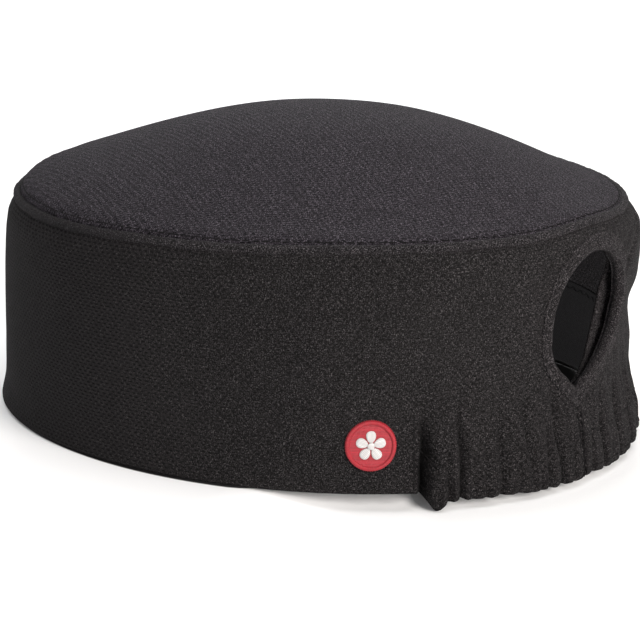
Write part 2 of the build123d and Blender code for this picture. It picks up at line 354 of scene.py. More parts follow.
# ---------------------------------------------------------------------------
# meshes
# ---------------------------------------------------------------------------
def new_mesh(name, verts, faces, uvs=None, smooth=True, sharp=None):
    """A mesh object from millimetre vertices, with per-corner cloth coordinates in millimetres."""
    me = bpy.data.meshes.new(name)
    me.from_pydata((np.asarray(verts, float) * MM).tolist(), [], [list(map(int, f)) for f in faces])
    if uvs is not None:
        lay = me.uv_layers.new(name="cloth")
        lay.data.foreach_set("uv", np.asarray(uvs, np.float32).ravel())
    me.polygons.foreach_set("use_smooth", [smooth] * len(me.polygons))
    if sharp:
        me.set_sharp_from_angle(angle=math.radians(sharp))
    me.validate()
    me.update()
    ob = bpy.data.objects.new(name, me)
    bpy.context.scene.collection.objects.link(ob)
    return ob


def normals_of(v, faces):
    v = np.asarray(v, float)
    n = np.zeros_like(v)
    for f in faces:
        a, b, c = v[f[0]], v[f[1]], v[f[2]]
        if len(f) == 4:
            m = np.cross(v[f[2]] - v[f[0]], v[f[3]] - v[f[1]])
        else:
            m = np.cross(b - a, c - a)
        for i in f:
            n[i] += m
    return n / np.maximum(np.linalg.norm(n, axis=1, keepdims=True), 1e-12)


def fast_normals(v, faces):
    v = np.asarray(v, float)
    q = np.array([f if len(f) == 4 else (f[0], f[1], f[2], f[2]) for f in faces], int)
    m = np.cross(v[q[:, 2]] - v[q[:, 0]], v[q[:, 3]] - v[q[:, 1]])
    n = np.zeros_like(v)
    for k in range(4):
        np.add.at(n, q[:, k], m)
    return n / np.maximum(np.linalg.norm(n, axis=1, keepdims=True), 1e-12)


def thicken(v, faces, uvs, back):
    """Closes a sheet into a thin solid: back holds the second surface's points."""
    n = len(v)
    v2 = np.vstack([v, back])
    f2 = list(faces)
    u2 = [u for u in uvs]
    for f, u in zip(faces, uvs):
        f2.append(tuple(i + n for i in reversed(f)))
        u2.append(list(reversed(u)))
    edges = {}
    for f, u in zip(faces, uvs):
        m = len(f)
        for k in range(m):
            a, b = f[k], f[(k + 1) % m]
            if (b, a) in edges:
                edges.pop((b, a))
            else:
                edges[(a, b)] = (u[k], u[(k + 1) % m])
    for (a, b), (ua, ub) in edges.items():
        f2.append((b, a, a + n, b + n))
        u2.append([ub, ua, ua, ub])
    return v2, f2, u2


def flat_uv(uvs):
    return [c for f in uvs for c in f]


def sheet(name, v, faces, uvs, thickness, sharp=None):
    """A cloth sheet of that thickness, grown on the side away from its normals."""
    nrm = fast_normals(v, faces)
    v2, f2, u2 = thicken(v, faces, uvs, v - nrm * thickness)
    return new_mesh(name, v2, f2, flat_uv(u2), sharp=sharp)


def columns():
    """Angles round the head: coarse in front, fine over the gathers, finest at the pleats beside the tacks."""
    t = [TACK - 3]
    while t[-1] < 180 - TACK + 3:
        near = min(abs(t[-1] - TACK - 0.5), abs(t[-1] - (180 - TACK - 0.5)))
        t.append(t[-1] + (0.16 if near < 1.1 else 0.40))
    last = t[-1]
    stop = TACK - 3 + 360
    n = int(round((stop - last) / 1.15))
    t += [last + (stop - last) * k / n for k in range(1, n)]
    return np.array(t)


TCOL = columns()


def arc_u(tc, z, per=True):
    p = oval(tc, z)
    seg = np.linalg.norm(np.roll(p, -1, 0) - p, axis=1)
    return np.concatenate([[0], np.cumsum(seg)])


def grid_faces(nt, nz, closed=True):
    f = []
    for i in range(nt if closed else nt - 1):
        k = (i + 1) % nt
        for j in range(nz - 1):
            f.append((i * nz + j, k * nz + j, k * nz + j + 1, i * nz + j + 1))
    return f


def inside_poly(px, pz, poly):
    inside = np.zeros(len(px), bool)
    j = len(poly) - 1
    for i in range(len(poly)):
        xi, zi = poly[i]
        xj, zj = poly[j]
        cond = ((zi > pz) != (zj > pz)) & (px < (xj - xi) * (pz - zi) / (zj - zi + 1e-12) + xi)
        inside ^= cond
        j = i
    return inside


def band_sheet(tc, zs, closed=True, hole=None):
    """Grid over (t, z) as parameter arrays, its faces and cloth coordinates, with the opening cut out and its rim snapped."""
    nt, nz = len(tc), len(zs)
    T = np.repeat(tc, nz)
    Z = np.tile(zs, nt)
    u = arc_u(tc, 35.0)
    faces = grid_faces(nt, nz, closed)
    uvs = []
    for i in range(nt if closed else nt - 1):
        for j in range(nz - 1):
            uvs.append([(u[i], zs[j]), (u[i + 1], zs[j]), (u[i + 1], zs[j + 1]), (u[i], zs[j + 1])])
    if hole is not None:
        X = oval(T, Z)[:, 0]
        back = (T % 360 > 45) & (T % 360 < 135)
        F = np.array(faces)
        cx, cz = X[F].mean(1), Z[F].mean(1)
        gone = inside_poly(cx, cz, hole) & back[F].all(1)
        keep = ~gone
        faces = [tuple(f) for f, k in zip(F.tolist(), keep) if k]
        uvs = [u_ for u_, k in zip(uvs, keep) if k]
        rim = set(np.unique(F[gone]).tolist()) & set(np.unique(F[keep]).tolist())
        rim = np.array(sorted(rim))
        P = np.stack([X[rim], Z[rim]], -1)
        A, B = hole, np.roll(hole, -1, 0)
        d = B - A
        s = np.clip(((P[:, None] - A[None]) * d[None]).sum(-1) / (d * d).sum(-1)[None], 0, 1)
        C = A[None] + s[..., None] * d[None]
        k = ((C - P[:, None]) ** 2).sum(-1).argmin(1)
        Q = C[np.arange(len(P)), k]
        Z = Z.copy()
        T = T.copy()
        Z[rim] = Q[:, 1]
        T[rim] = t_of_x(Q[:, 0], Q[:, 1])
        used = np.unique(np.array(faces))
        back_to = -np.ones(len(T), int)
        back_to[used] = np.arange(len(used))
        T, Z = T[used], Z[used]
        faces = [tuple(back_to[list(f)]) for f in faces]
    return T, Z, faces, uvs


def blend_back(ob):
    """Bakes the back piece's placement into its mesh."""
    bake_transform(ob)
    return ob


# ---------------------------------------------------------------------------
# materials
# ---------------------------------------------------------------------------
class Nodes:
    def __init__(self, name):
        self.mat = bpy.data.materials.new(name)
        self.mat.use_nodes = True
        self.nt = self.mat.node_tree
        self.nt.nodes.clear()
        self.out = self.new("ShaderNodeOutputMaterial")
        self.bsdf = self.new("ShaderNodeBsdfPrincipled")
        self.nt.links.new(self.bsdf.outputs[0], self.out.inputs[0])

    def new(self, kind, **kw):
        n = self.nt.nodes.new(kind)
        for k, v in kw.items():
            setattr(n, k, v)
        return n

    def link(self, a, b):
        self.nt.links.new(a, b)

    def put(self, sock, val):
        if isinstance(val, bpy.types.NodeSocket):
            self.link(val, sock)
        else:
            sock.default_value = val

    def m(self, op, a, b=0.0, c=0.0):
        n = self.new("ShaderNodeMath", operation=op)
        self.put(n.inputs[0], a)
        self.put(n.inputs[1], b)
        if len(n.inputs) > 2:
            self.put(n.inputs[2], c)
        return n.outputs[0]

    def smooth(self, x, lo, hi, a=0.0, b=1.0):
        n = self.new("ShaderNodeMapRange", interpolation_type="SMOOTHSTEP")
        self.put(n.inputs["Value"], x)
        n.inputs["From Min"].default_value = lo
        n.inputs["From Max"].default_value = hi
        n.inputs["To Min"].default_value = a
        n.inputs["To Max"].default_value = b
        return n.outputs[0]

    def uv(self):
        n = self.new("ShaderNodeUVMap", uv_map="cloth")
        s = self.new("ShaderNodeSeparateXYZ")
        self.link(n.outputs[0], s.inputs[0])
        return n.outputs[0], s.outputs[0], s.outputs[1]

    def obj(self):
        return self.new("ShaderNodeTexCoord").outputs["Object"]

    def noise(self, vec, scale, detail=2.0, rough=0.5, distortion=0.0):
        n = self.new("ShaderNodeTexNoise")
        self.link(vec, n.inputs["Vector"])
        n.inputs["Scale"].default_value = scale
        n.inputs["Detail"].default_value = detail
        n.inputs["Roughness"].default_value = rough
        n.inputs["Distortion"].default_value = distortion
        return n.outputs["Fac"]

    def mix(self, fac, a, b, kind="MIX"):
        n = self.new("ShaderNodeMix", data_type="RGBA", blend_type=kind)
        self.put(n.inputs[0], fac)
        self.put(n.inputs[6], a if isinstance(a, bpy.types.NodeSocket) else (*a, 1.0))
        self.put(n.inputs[7], b if isinstance(b, bpy.types.NodeSocket) else (*b, 1.0))
        return n.outputs[2]

    def bump(self, height, distance, strength=1.0, normal=None):
        n = self.new("ShaderNodeBump")
        n.inputs["Strength"].default_value = strength
        n.inputs["Distance"].default_value = distance
        self.link(height, n.inputs["Height"])
        if normal is not None:
            self.link(normal, n.inputs["Normal"])
        return n.outputs[0]

    def finish(self, color, rough, normal=None, sheen=0.0, sheen_rough=0.5, spec=0.3, sheen_tint=(1, 1, 1)):
        b = self.bsdf
        self.put(b.inputs["Base Color"], color if isinstance(color, bpy.types.NodeSocket) else (*color, 1.0))
        self.put(b.inputs["Roughness"], rough)
        if normal is not None:
            self.link(normal, b.inputs["Normal"])
        b.inputs["Specular IOR Level"].default_value = spec
        b.inputs["Sheen Weight"].default_value = sheen
        b.inputs["Sheen Roughness"].default_value = sheen_rough
        b.inputs["Sheen Tint"].default_value = (*sheen_tint, 1.0)
        return self.mat


def knit(name, dark, light, px=2.1, py=1.02, shift=0.5, dimple=1.0, sheen=0.008, spec=0.035, tint=(1, 1, 1), grain_and_glint=1.0, rough=0.80, turn=0.0, even=False):
    """Micro-mesh knit: rows of short staggered dimples in a field of fine loops, with bright specks that are partly
    lighter filaments and partly painted glints, slow fading and lint.
    """
    k = Nodes(name)
    uv, u, v = k.uv()
    obj = k.obj()
    wob = k.m("MULTIPLY", k.m("SUBTRACT", k.noise(obj, 240.0, 1.0), 0.5), 0.7)
    u2 = k.m("ADD", u, wob)
    v2 = k.m("ADD", v, k.m("MULTIPLY", wob, 0.5))
    if turn:
        c, s_ = math.cos(math.radians(turn)), math.sin(math.radians(turn))
        u2, v2 = (k.m("ADD", k.m("MULTIPLY", u2, c), k.m("MULTIPLY", v2, s_)),
                  k.m("SUBTRACT", k.m("MULTIPLY", v2, c), k.m("MULTIPLY", u2, s_)))
        u2, v2 = k.m("ADD", u2, 900.0), k.m("ADD", v2, 900.0)
    row = k.m("DIVIDE", v2, py)
    rowi = k.m("FLOOR", row)
    fu = k.m("SUBTRACT", k.m("FRACT", k.m("ADD", k.m("DIVIDE", u2, px), k.m("MULTIPLY", rowi, shift))), 0.5)
    fv = k.m("SUBTRACT", k.m("FRACT", row), 0.5)
    du = k.m("DIVIDE", k.m("MULTIPLY", fu, px), 0.72)
    dv = k.m("DIVIDE", k.m("MULTIPLY", fv, py), 0.20)
    dist = k.m("SQRT", k.m("ADD", k.m("MULTIPLY", du, du), k.m("MULTIPLY", dv, dv)))
    hole = k.smooth(dist, 0.40, 1.25, 1.0, 0.0)
    # the cloth between two dimples swells a little
    swell = k.smooth(k.m("ABSOLUTE", fu), 0.22, 0.5)
    zig = k.m("MULTIPLY", k.m("ABSOLUTE", fv), 0.9)
    rib = k.m("SINE", k.m("MULTIPLY", k.m("ADD", u2, zig), 2 * math.pi / 0.52))
    course = k.m("SINE", k.m("MULTIPLY", v2, 2 * math.pi / 0.51))
    loops = k.m("ADD", k.m("MULTIPLY", rib, 0.5), k.m("MULTIPLY", course, 0.28))
    fine = k.noise(obj, 4600.0, 2.0, 0.7)
    glint_noise = k.noise(obj, 3300.0, 1.0, 0.6)
    speck_glint_noise = k.noise(obj, 2650.0, 2.0, 0.7)
    slow = k.noise(obj, 20.0, 3.0, 0.55)
    mid = k.noise(obj, 130.0, 2.0, 0.5)
    # painted light: a weight across the cap from the picture's left to its right; the dark dimple dashes are stronger
    # on the left and the painted glints on the right, the side towards the key light
    xyz = k.new("ShaderNodeSeparateXYZ")
    k.link(obj, xyz.inputs[0])
    lit_side = k.smooth(k.m("ADD", k.m("MULTIPLY", xyz.outputs[0], -0.643), k.m("MULTIPLY", xyz.outputs[1], 0.766)), -0.090, 0.0)
    if even:
        lit_side = k.m("ADD", 0.55, k.m("MULTIPLY", lit_side, 0.15))
    dash = k.m("MULTIPLY", hole, k.m("SUBTRACT", 1.75, k.m("MULTIPLY", lit_side, 1.05)))
    gw = k.m("ADD", 0.30, k.m("MULTIPLY", lit_side, 0.75))
    height = k.m("ADD", k.m("MULTIPLY", dash, -0.62 * dimple), k.m("MULTIPLY", loops, 0.18))
    height = k.m("ADD", height, k.m("MULTIPLY", swell, 0.12 * dimple))
    height = k.m("ADD", height, k.m("ADD", k.m("MULTIPLY", fine, 0.5 * grain_and_glint), k.m("MULTIPLY", speck_glint_noise, 0.55 * grain_and_glint)))
    nrm = k.bump(height, 0.00034, 1.0)
    col = k.mix(k.smooth(slow, 0.3, 0.7), dark, light)
    col = k.mix(k.m("MULTIPLY", k.m("MULTIPLY", k.smooth(speck_glint_noise, 0.54, 0.34), 0.62 * grain_and_glint), gw), col, tuple(c * 0.2 for c in dark))
    col = k.mix(k.m("MULTIPLY", k.smooth(loops, -0.2, 0.7), 0.25), col, tuple(c * 1.5 for c in light))
    # painted glints: bright specks, stronger on the side towards the key light, stand in for the shine of single
    # filaments; some are lighter filaments of the yarn
    col = k.mix(k.m("MULTIPLY", k.m("MULTIPLY", k.smooth(speck_glint_noise, 0.50, 0.72), 0.9 * grain_and_glint), gw), col, tuple(c * 3.6 for c in light))
    col = k.mix(k.m("MULTIPLY", k.m("MULTIPLY", k.smooth(glint_noise, 0.58, 0.72), 0.95 * grain_and_glint), gw), col, tuple(min(1.0, c * 8.5 + 0.004) for c in light))
    col = k.mix(k.m("MULTIPLY", dash, 0.66 * dimple), col, tuple(c * 0.10 for c in dark))
    col = k.mix(k.m("MULTIPLY", swell, 0.12 * dimple), col, k.mix(1.0, col, tuple(c * 1.9 for c in light), "ADD"))
    col = k.mix(k.m("MULTIPLY", k.smooth(mid, 0.50, 0.75), 0.20), col, tuple(c * 1.5 for c in light))
    # painted shade: the colour is darkened in the creases and pleats, where they hold less light
    crease_shade_mask = k.new("ShaderNodeAttribute", attribute_type="GEOMETRY", attribute_name="crease_shade").outputs["Fac"]
    col = k.mix(k.m("MULTIPLY", crease_shade_mask, 0.92), col, tuple(c * 0.12 for c in dark))
    ro = k.m("ADD", rough, k.m("MULTIPLY", k.m("SUBTRACT", fine, 0.5), 0.35))
    return k.finish(col, ro, nrm, sheen, 0.5, spec, tint)


def thread_mat(name, color, pitch=0.34, sheen=0.15, spec=0.5, rough=0.5):
    """Twisted sewing thread: plies that wind round, fuzz, and a soft shine."""
    k = Nodes(name)
    uv, u, v = k.uv()
    obj = k.obj()
    tw = k.m("SINE", k.m("MULTIPLY", k.m("ADD", u, k.m("MULTIPLY", v, 1.4)), 2 * math.pi / pitch))
    fuzz = k.noise(obj, 6000.0, 2.0, 0.6)
    slow = k.noise(obj, 90.0, 2.0)
    h = k.m("ADD", k.m("MULTIPLY", tw, 0.5), k.m("MULTIPLY", fuzz, 0.6))
    nrm = k.bump(h, 0.00008, 0.8)
    col = k.mix(k.smooth(tw, -0.6, 0.8), tuple(c * 0.62 for c in color), color)
    col = k.mix(k.m("MULTIPLY", k.smooth(slow, 0.35, 0.7), 0.3), col, tuple(min(1, c * 1.35) for c in color))
    col = k.mix(k.m("MULTIPLY", k.smooth(fuzz, 0.55, 0.8), 0.25), col, tuple(min(1, c * 1.8 + 0.01) for c in color))
    return k.finish(col, k.m("ADD", rough, k.m("MULTIPLY", fuzz, 0.2)), nrm, sheen, 0.4, spec)


def brushed(name, color, sheen=0.5, scale=1.0):
    """Soft brushed cloth with a short nap: sweatband and similar."""
    k = Nodes(name)
    uv, u, v = k.uv()
    obj = k.obj()
    nap = k.noise(obj, 2400.0 * scale, 4.0, 0.7, 0.4)
    clump = k.noise(obj, 420.0 * scale, 3.0, 0.6)
    slow = k.noise(obj, 30.0, 2.0)
    weave = k.m("MULTIPLY", k.m("SINE", k.m("MULTIPLY", u, 2 * math.pi / 0.9)), k.m("SINE", k.m("MULTIPLY", v, 2 * math.pi / 0.9)))
    h = k.m("ADD", k.m("ADD", k.m("MULTIPLY", nap, 0.7), k.m("MULTIPLY", clump, 0.7)), k.m("MULTIPLY", weave, 0.18))
    nrm = k.bump(h, 0.00035, 0.8)
    col = k.mix(k.smooth(nap, 0.3, 0.75), tuple(c * 0.55 for c in color), tuple(min(1, c * 1.5) for c in color))
    col = k.mix(k.m("MULTIPLY", k.smooth(slow, 0.4, 0.7), 0.35), col, tuple(c * 0.7 for c in color))
    return k.finish(col, 0.9, nrm, sheen, 0.6, 0.2)


def felt(name, color):
    """Non-woven interlining: random pressed fibres with bonding dots."""
    k = Nodes(name)
    uv, u, v = k.uv()
    obj = k.obj()
    fib = k.noise(obj, 1500.0, 5.0, 0.75, 1.2)
    fu = k.m("SUBTRACT", k.m("FRACT", k.m("DIVIDE", u, 1.6)), 0.5)
    fv = k.m("SUBTRACT", k.m("FRACT", k.m("DIVIDE", v, 1.6)), 0.5)
    dot = k.smooth(k.m("SQRT", k.m("ADD", k.m("MULTIPLY", fu, fu), k.m("MULTIPLY", fv, fv))), 0.12, 0.24, 1.0, 0.0)
    h = k.m("SUBTRACT", fib, k.m("MULTIPLY", dot, 0.6))
    col = k.mix(k.smooth(fib, 0.3, 0.7), tuple(c * 0.78 for c in color), color)
    col = k.mix(k.m("MULTIPLY", dot, 0.35), col, tuple(c * 0.7 for c in color))
    return k.finish(col, 0.85, k.bump(h, 0.0002, 0.8), 0.1, 0.5, 0.25)


def ribbed(name, color):
    """Flat woven elastic: close cords along its length with binding threads across."""
    k = Nodes(name)
    uv, u, v = k.uv()
    obj = k.obj()
    cords = k.m("SINE", k.m("MULTIPLY", v, 2 * math.pi / 0.9))
    cross = k.m("SINE", k.m("MULTIPLY", u, 2 * math.pi / 0.7))
    fine = k.noise(obj, 3500.0, 2.0)
    h = k.m("ADD", k.m("ADD", k.m("MULTIPLY", cords, 0.5), k.m("MULTIPLY", cross, 0.25)), k.m("MULTIPLY", fine, 0.4))
    col = k.mix(k.smooth(cords, -0.7, 0.7), tuple(c * 0.5 for c in color), color)
    col = k.mix(k.m("MULTIPLY", k.smooth(fine, 0.5, 0.8), 0.3), col, tuple(min(1, c * 2.2) for c in color))
    return k.finish(col, 0.6, k.bump(h, 0.0002, 0.9), 0.1, 0.4, 0.4)


def satin(name, color, along=0.42, sheen=0.25):
    """Satin stitch embroidery: glossy parallel threads, each a shade apart from the next."""
    k = Nodes(name)
    uv, u, v = k.uv()
    obj = k.obj()
    idx = k.m("FLOOR", k.m("DIVIDE", v, along))
    wn = k.new("ShaderNodeTexWhiteNoise", noise_dimensions="1D")
    k.link(idx, wn.inputs["W"])
    shade = wn.outputs["Value"]
    edge = k.m("ABSOLUTE", k.m("SUBTRACT", k.m("FRACT", k.m("DIVIDE", v, along)), 0.5))
    fine = k.noise(obj, 5200.0, 2.0, 0.6)
    strands = k.m("SINE", k.m("MULTIPLY", k.m("ADD", u, k.m("MULTIPLY", v, 3.0)), 2 * math.pi / 0.3))
    h = k.m("ADD", k.m("MULTIPLY", edge, -0.9), k.m("ADD", k.m("MULTIPLY", strands, 0.12), k.m("MULTIPLY", fine, 0.3)))
    col = k.mix(shade, tuple(c * 0.8 for c in color), tuple(min(1, c * 1.12) for c in color))
    col = k.mix(k.smooth(edge, 0.28, 0.5), col, tuple(c * 0.5 for c in color))
    col = k.mix(k.m("MULTIPLY", k.smooth(fine, 0.5, 0.8), 0.18), col, tuple(min(1, c * 1.3 + 0.03) for c in color))
    return k.finish(col, 0.48, k.bump(h, 0.00016, 0.7), sheen, 0.35, 0.45)


def label_mat(name, color):
    """Blank satin-woven label."""
    k = Nodes(name)
    uv, u, v = k.uv()
    obj = k.obj()
    w = k.m("MULTIPLY", k.m("SINE", k.m("MULTIPLY", u, 2 * math.pi / 0.36)), k.m("SINE", k.m("MULTIPLY", v, 2 * math.pi / 0.5)))
    fine = k.noise(obj, 2600.0, 2.0)
    slow = k.noise(obj, 60.0, 2.0)
    col = k.mix(k.smooth(w, -0.6, 0.6), tuple(c * 0.86 for c in color), color)
    col = k.mix(k.m("MULTIPLY", k.smooth(slow, 0.4, 0.8), 0.3), col, tuple(c * 0.86 for c in color))
    return k.finish(col, 0.55, k.bump(k.m("ADD", w, fine), 0.00008, 0.7), 0.2, 0.4, 0.35)


M_OUT = knit("knit_band", (0.0062, 0.0056, 0.0058), (0.0092, 0.0084, 0.0086), dimple=0.85)
M_CROWN = knit("knit_crown", (0.0114, 0.0099, 0.0118), (0.0161, 0.0142, 0.0167), px=2.0, py=0.98, shift=0.36, dimple=1.05, turn=-20.0, grain_and_glint=1.6, even=True)
M_IN = knit("knit_lining", (0.0285, 0.0261, 0.0271), (0.0411, 0.0380, 0.0395), dimple=0.6, grain_and_glint=0.6)
M_WELT = knit("knit_welt", (0.0084, 0.0077, 0.0079), (0.0124, 0.0113, 0.0120), px=2.3, py=1.1, dimple=0.3, grain_and_glint=1.5)
M_BIND = knit("knit_binding", (0.0084, 0.0077, 0.0078), (0.0125, 0.0113, 0.0118), px=1.9, py=1.0, dimple=0.3, grain_and_glint=1.3)
M_SWEAT = brushed("sweatband_nap", (0.030, 0.028, 0.0295), sheen=0.12)
M_FELT = felt("interlining_fibre", (0.62, 0.61, 0.58))
M_ELAST = ribbed("elastic_cords", (0.030, 0.030, 0.032))
M_THREAD = thread_mat("thread_twist", (0.0085, 0.0078, 0.0082), sheen=0.005, spec=0.05, rough=0.7)
# painted light: the inside thread is lighter than the sweatband it lies on, so that the shade it casts on itself
# doesn't show it as a dark line
M_THREAD_IN = thread_mat("thread_inside", (0.050, 0.047, 0.049), sheen=0.02, spec=0.2)
M_RED = satin("satin_red", (0.33, 0.010, 0.021), sheen=0.05)
M_EDGE = satin("satin_red_edge", (0.34, 0.010, 0.020), sheen=0.05)
M_WHITE = satin("satin_white", (0.60, 0.585, 0.58), sheen=0.02)
M_LABEL = label_mat("label_satin", (0.78, 0.78, 0.75))


def dress(ob, mat):
    ob.data.materials.clear()
    ob.data.materials.append(mat)
    return ob


# ---------------------------------------------------------------------------
# outer band: one continuous sheet from under the welt, down, round the hem and
# a little way up inside
# ---------------------------------------------------------------------------
HOLE_CLOTH = hole_outline(240, grow=1.3)


def band_outer():
    zs_out = np.concatenate([np.linspace(65.0, 62.0, 8), np.linspace(61.2, 30, 31), np.linspace(29, 1.3, 36)])
    n_fold, n_in = 7, 7
    T, Z, faces, uvs = band_sheet(TCOL, zs_out[::-1], True, HOLE_CLOTH)
    v = band_point(T, Z)
    # hem: the same columns continued below z = 1.3 round a small roll and up inside
    base = len(v)
    nt = len(TCOL)
    u = arc_u(TCOL, 35.0)
    lowest = {}
    for idx in np.where(np.abs(Z - 1.3) < 1e-6)[0]:
        lowest[round(float(T[idx]), 4)] = idx
    order = [lowest[round(float(t), 4)] for t in TCOL]
    rings = [order]
    r = 1.25
    ex_v = []
    ex_uv = []
    total = n_fold + n_in
    for k in range(1, total + 1):
        if k <= n_fold:
            a = math.pi * k / n_fold
            inward = r - r * math.cos(a)
            z = 1.3 - r * math.sin(a)
            length = r * a
        else:
            z = 1.3 + (k - n_fold) * 1.25
            inward = 2 * r
            length = r * math.pi + (k - n_fold) * 1.25
        p = band_point(TCOL, np.full(nt, z), inward=inward, fold=1.0)
        start = base + len(ex_v) * nt
        ex_v.append(p)
        ex_uv.append(1.3 - length)
        rings.append(list(range(start, start + nt)))
    v = np.vstack([v] + ex_v)
    vv = [1.3] + ex_uv
    for k in range(total):
        a, b = rings[k], rings[k + 1]
        for i in range(nt):
            j = (i + 1) % nt
            faces.append((b[i], b[j], a[j], a[i]))
            uvs.append([(u[i], vv[k + 1]), (u[i + 1], vv[k + 1]), (u[i + 1], vv[k]), (u[i], vv[k])])
    ob = sheet("outer_band", v, faces, uvs, 0.7)
    # painted shade: how deep each point lies in a crease, stored for darkening the cloth's colour
    crease_shade_mask = np.concatenate([crease_shade(T, Z)] + [crease_shade(TCOL, np.full(nt, 0.5)) for _ in ex_v])
    lay = ob.data.attributes.new("crease_shade", "FLOAT", "POINT")
    lay.data.foreach_set("value", np.concatenate([crease_shade_mask, crease_shade_mask]).astype(np.float32))
    return ob


outer = band_outer()
dress(outer, M_OUT)
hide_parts("band_front", "band_back_left", "band_back_right")
blend_back(outer)


# lining: inside, all the way round, with the same opening
def band_inner(name, inward, z0, z1, nz, fold, thickness, hole_grow, tc=TCOL, closed=True, facing_in=True):
    hole = None if hole_grow is None else hole_outline(240, grow=hole_grow)
    zs = np.linspace(z0, z1, nz)
    T, Z, faces, uvs = band_sheet(tc, zs, closed, hole)
    v = band_point(T, Z, inward=inward, fold=fold)
    if facing_in:
        faces = [tuple(reversed(f)) for f in faces]
        uvs = [list(reversed(u)) for u in uvs]
    return sheet(name, v, faces, uvs, thickness)


lining = band_inner("inside_lining", 2.75, 8.0, 63.4, 44, 0.75, -0.0 + 0.55, 1.3)
dress(lining, M_IN)
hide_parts("band_lining", "back_lining")
blend_back(lining)

front_cols = TCOL[(TCOL > 180 - TACK + 1.2)]
front_cols = np.concatenate([front_cols, TCOL[TCOL < TACK - 1.2] + 360])
stiff = band_inner("stiffener", 1.05, 3.2, 61.8, 24, 1.0, 0.32, None, front_cols, False, False)
dress(stiff, M_FELT)
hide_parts("band_interfacing")
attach(stiff, "band")


# sweatband: a soft strip that pads out between its two sewn edges
def sweatband():
    tc = front_cols
    prof = []                      # (height, distance in from the plain cloth)
    z0, z1 = 1.5, 29.0
    n = 22
    for k in range(n + 1):
        w = k / n
        z = z0 + (z1 - z0) * w
        bulge = 1.35 * (math.sin(math.pi * min(1, max(0, w))) ** 0.45)
        prof.append((z, 3.3 + 0.25 + bulge))
    for k in range(n, -1, -1):
        w = k / n
        prof.append((z0 + (z1 - z0) * w, 3.3))
    prof[0] = (z0 - 0.1, 3.45)
    m = len(prof)
    nt = len(tc)
    u = arc_u(tc, 15.0)
    v = np.zeros((nt, m, 3))
    s = 0.0
    lens = [0.0]
    for k in range(1, m):
        s += math.hypot(prof[k][0] - prof[k - 1][0], prof[k][1] - prof[k - 1][1])
        lens.append(s)
    a = np.radians(tc)
    for k, (z, inn) in enumerate(prof):
        puck = 0.14 * np.sin(tc * 2.4 + 0.8 * np.sin(tc * 0.31)) if k in (1, 2, n - 1, n) else 0.0
        wav = 0.28 * fbm(85 * np.cos(a) * 0.06, 98 * np.sin(a) * 0.06, z * 0.07, 21, 2) if k <= n else 0.0
        end = 1.0
        v[:, k] = band_point(tc, np.full(nt, z), inward=inn + (wav + puck) * end, fold=0.0)
    idx = lambda i, k: i * m + (k % m)
    faces, uvs = [], []
    for i in range(nt - 1):
        for k in range(m):
            k2 = (k + 1) % m
            l2 = lens[k + 1] if k + 1 < m else lens[k] + 0.3
            faces.append((idx(i, k), idx(i, k2), idx(i + 1, k2), idx(i + 1, k)))
            uvs.append([(u[i], lens[k]), (u[i], l2), (u[i + 1], l2), (u[i + 1], lens[k])])
    V = v.reshape(-1, 3)
    # closed ends
    for i, rev in ((0, False), (nt - 1, True)):
        c = V[i * m:(i + 1) * m].mean(0)
        V = np.vstack([V, c[None]])
        ci = len(V) - 1
        for k in range(m):
            f = (idx(i, k), ci, idx(i, k + 1))
            if rev:
                f = tuple(reversed(f))
            faces.append(f)
            uvs.append([(0, 0), (0.5, 0.5), (1, 0)])
    return new_mesh("sweatband_strip", V, faces, flat_uv(uvs))


sweat = sweatband()
dress(sweat, M_SWEAT)
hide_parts("sweatband")
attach(sweat, "band")

# elastic and its tunnel inside the gathered back
back_cols = TCOL[(TCOL > TACK - 0.6) & (TCOL < 180 - TACK + 0.6)]
elastic = band_inner("elastic_strap", 0.85, 1.6, 10.4, 14, 1.0, 0.55, None, back_cols, False, False)
dress(elastic, M_ELAST)
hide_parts("back_elastic")
blend_back(elastic)
wide_cols = TCOL[(TCOL > TACK - 2.4) & (TCOL < 180 - TACK + 2.4)]
casing = band_inner("elastic_casing", 3.55, 1.2, 15.6, 20, 0.85, 0.5, None, wide_cols, False, True)
dress(casing, M_IN)
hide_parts("back_casing")
blend_back(casing)


# ---------------------------------------------------------------------------
# crown
# ---------------------------------------------------------------------------
def crown_point(t, rho):
    """Soft mound sewn in at its edge; rho is 0 at the top and 1 in the seam's groove."""
    t, rho = np.broadcast_arrays(np.asarray(t, float), np.asarray(rho, float))
    a = np.radians(t)
    c, s = np.cos(a), np.sin(a)
    cc = np.sign(c) * np.abs(c) ** SQ
    sn = np.sign(s) * np.abs(s) ** SQ
    edge = 0.35
    x = (A1 - edge) * rho * cc * (1 + E1 * sn * rho)
    y = Y1 + (B1 - edge) * rho * sn
    z = H + 22.69 * np.maximum(0, 1 - rho ** 2.183) ** 1.299
    # fuller towards the wearer's left front
    full = 0.45 + 3.5 * np.exp(-(wrap(t - 310.0) / 60.0) ** 2) - 0.2 * np.exp(-(wrap(t - 130.0) / 45.0) ** 2)
    z = z + full * np.sqrt(np.maximum(0, 1 - rho)) * rho ** 4 * np.exp(-((1 - rho) / 0.545) ** 1.5) * 4.0
    # rolls over before it dives into the seam
    z = z + 0.30 * np.exp(-((rho - 0.962) / 0.022) ** 2) - 0.75 * ss(0.983, 1.0, rho)
    z = z + 0.42 * fbm(x * 0.028, y * 0.028, 0, 31, 2) * (1 - rho ** 6) * ss(-0.1, 0.5, rho)
    z = z + 0.12 * fbm(x * 0.12, y * 0.12, 0, 32, 2) * (1 - rho ** 10)
    z = z + 0.13 * np.sin(t * 1.55 + 1.1 * np.sin(t * 0.23)) * np.exp(-((rho - 0.95) / 0.03) ** 2)
    z = z + 0.10 * np.sin(t * 0.83 + 2.0) * np.exp(-((rho - 0.88) / 0.06) ** 2)
    z = z + rise(t) * rho ** 7
    return np.stack([x, y, z], -1)


